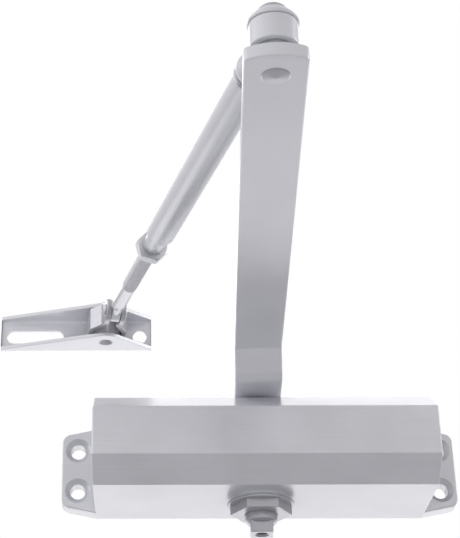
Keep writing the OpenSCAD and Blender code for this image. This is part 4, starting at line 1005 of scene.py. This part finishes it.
def makePivotPin(p):
    r, head, low, seat, top = p["diameter"] / 2, p["head"] / 2, p["low"], p["seat"], p["headTop"]
    dimple = low + p["dimple"]
    outline = [(0, dimple), (r / 2, dimple, 1.2), (r - p["rim"], low, 0.3), (r, low, 0.2), (r, seat),
               (head, seat, 0.15), (head, seat + p["headSide"], 0.3), (head - p["headBevel"], top, 0.8),
               (0, top)]
    return lathe(outline, 4, 64)


finishPiece("foot_bracket", makeBracket(bracket), enamelPaintedLight)
finishPiece("bracket_pivot_pin", makePivotPin(pivotPin), zincPlate, at(pivotX, pivotY))
print("yoke and bracket made")


# Inner pieces keep their CAD shape

innerFinish = {
    "end_plug_rings": nitrileRubber, "upper_seal": nitrileRubber, "lower_seal": nitrileRubber,
    "closing_valve_ring": nitrileRubber, "latching_valve_ring": nitrileRubber,
    "rack_piston": turnedSteel, "check_valve_ball": turnedSteel, "check_valve_ring": machinedBrass,
    "upper_bearing": machinedBrass, "lower_bearing": machinedBrass,
    "closing_valve_screw": machinedBrass, "latching_valve_screw": machinedBrass, "main_spring": springWire,
}
for node, material in innerFinish.items():
    for slot in frame["nodes"][node].material_slots:
        slot.material = material
print("inner pieces finished:", len(innerFinish))


# Studio: pale floor, white background, soft lamps, the photograph's camera

studio = {
    "floorZ": -0.5, "floorSize": 4.0, "floorColour": "#b4b4b6", "floorRoughness": 0.8,
    "target": (-0.03, -0.10, 0.02), "roomLight": 0.15,
    "lamps": (
        {"name": "key softbox", "place": (-1.3, -0.6, 1.4), "size": (1.2, 1.2), "watts": 16.5,
         "mirrored": False},
        {"name": "back low strip", "place": (0.0, 0.62, -0.25), "size": (1.6, 0.4), "watts": 2.45},
        {"name": "back high strip", "place": (0.0, 1.3, 1.0), "size": (1.8, 0.8), "watts": 8},
        {"name": "right strip", "place": (1.3, -0.05, 0.35), "size": (0.4, 0.9), "watts": 4.5},
        {"name": "left strip", "place": (-1.3, -0.05, 0.35), "size": (0.4, 0.9), "watts": 2.0},
        {"name": "low front fill", "place": (-0.1, -0.75, -0.44), "size": (1.4, 0.3), "watts": 3.9,
         "mirrored": False},
    ),
}


def makeStudio(s):
    form = bmesh.new()
    bmesh.ops.create_grid(form, x_segments=8, y_segments=8, size=s["floorSize"] / 2)
    floor = asObject(form, at(0, 0, s["floorZ"]))
    floor.name = floor.data.name = "studio_floor"
    material = bpy.data.materials.new("matt painted studio floor")
    tree = emptyTree(material)
    shader = addNode(tree, "BsdfPrincipled",
                     {"Base Color": hexToLinear(s["floorColour"]), "Roughness": s["floorRoughness"]})
    addNode(tree, "OutputMaterial", links={"Surface": shader})
    floor.data.materials.append(material)

    # white for the camera and for what metal mirrors, softer for the light that it gives
    world = bpy.data.worlds.new("studio")
    bpy.context.scene.world = world
    tree = emptyTree(world)
    rays = addNode(tree, "LightPath").outputs
    seen = addNode(tree, "Math", {"operation": "MAXIMUM"},
                   {0: rays["Is Camera Ray"], 1: rays["Is Glossy Ray"]})
    strength = addNode(tree, "MapRange", {"To Min": s["roomLight"], "To Max": 1.0}, {"Value": seen})
    light = addNode(tree, "Background", {"Color": (1, 1, 1, 1)}, {"Strength": strength})
    addNode(tree, "OutputWorld", links={"Surface": light})

    for lamp in s["lamps"]:
        data = bpy.data.lights.new(lamp["name"], "AREA")
        data.shape = "RECTANGLE"
        data.size, data.size_y = lamp["size"]
        data.energy = lamp["watts"]
        obj = addObject(lamp["name"], data)
        obj.location = lamp["place"]
        aim = Vector(s["target"]) - obj.location
        obj.rotation_euler = aim.to_track_quat("-Z", "Y").to_euler()
        obj.visible_glossy = lamp.get("mirrored", True)


# The camera was fitted to edges and circles measured in the photograph
camera = {"place": (-50.962, -673.671, -231.032), "pitch": 28.333, "yaw": -0.356,
          "focal": 1518.663, "centre": (137.952, 225.369), "sensor": 24.0}


def makeCamera(c):
    data = bpy.data.cameras.new("camera")
    data.sensor_fit = "VERTICAL"
    data.sensor_height = c["sensor"]
    data.lens = c["focal"] / imageHeight * c["sensor"]
    data.shift_x = (imageWidth / 2 - c["centre"][0]) / imageHeight
    data.shift_y = (c["centre"][1] - imageHeight / 2) / imageHeight
    data.clip_start, data.clip_end = 0.01, 20
    obj = addObject("camera", data)
    pitch, yaw = radians(c["pitch"]), radians(c["yaw"])
    forward = Vector((sin(yaw) * cos(pitch), cos(yaw) * cos(pitch), sin(pitch)))
    right = Vector((cos(yaw), -sin(yaw), 0))
    up = right.cross(forward)
    turn = Matrix((right, up, -forward)).transposed().to_4x4()
    obj.matrix_world = Matrix.Translation(Vector(c["place"]) * mm) @ turn
    bpy.context.scene.camera = obj


makeStudio(studio)
makeCamera(camera)
bpy.context.scene.view_settings.view_transform = "Standard"
print("studio and camera made")
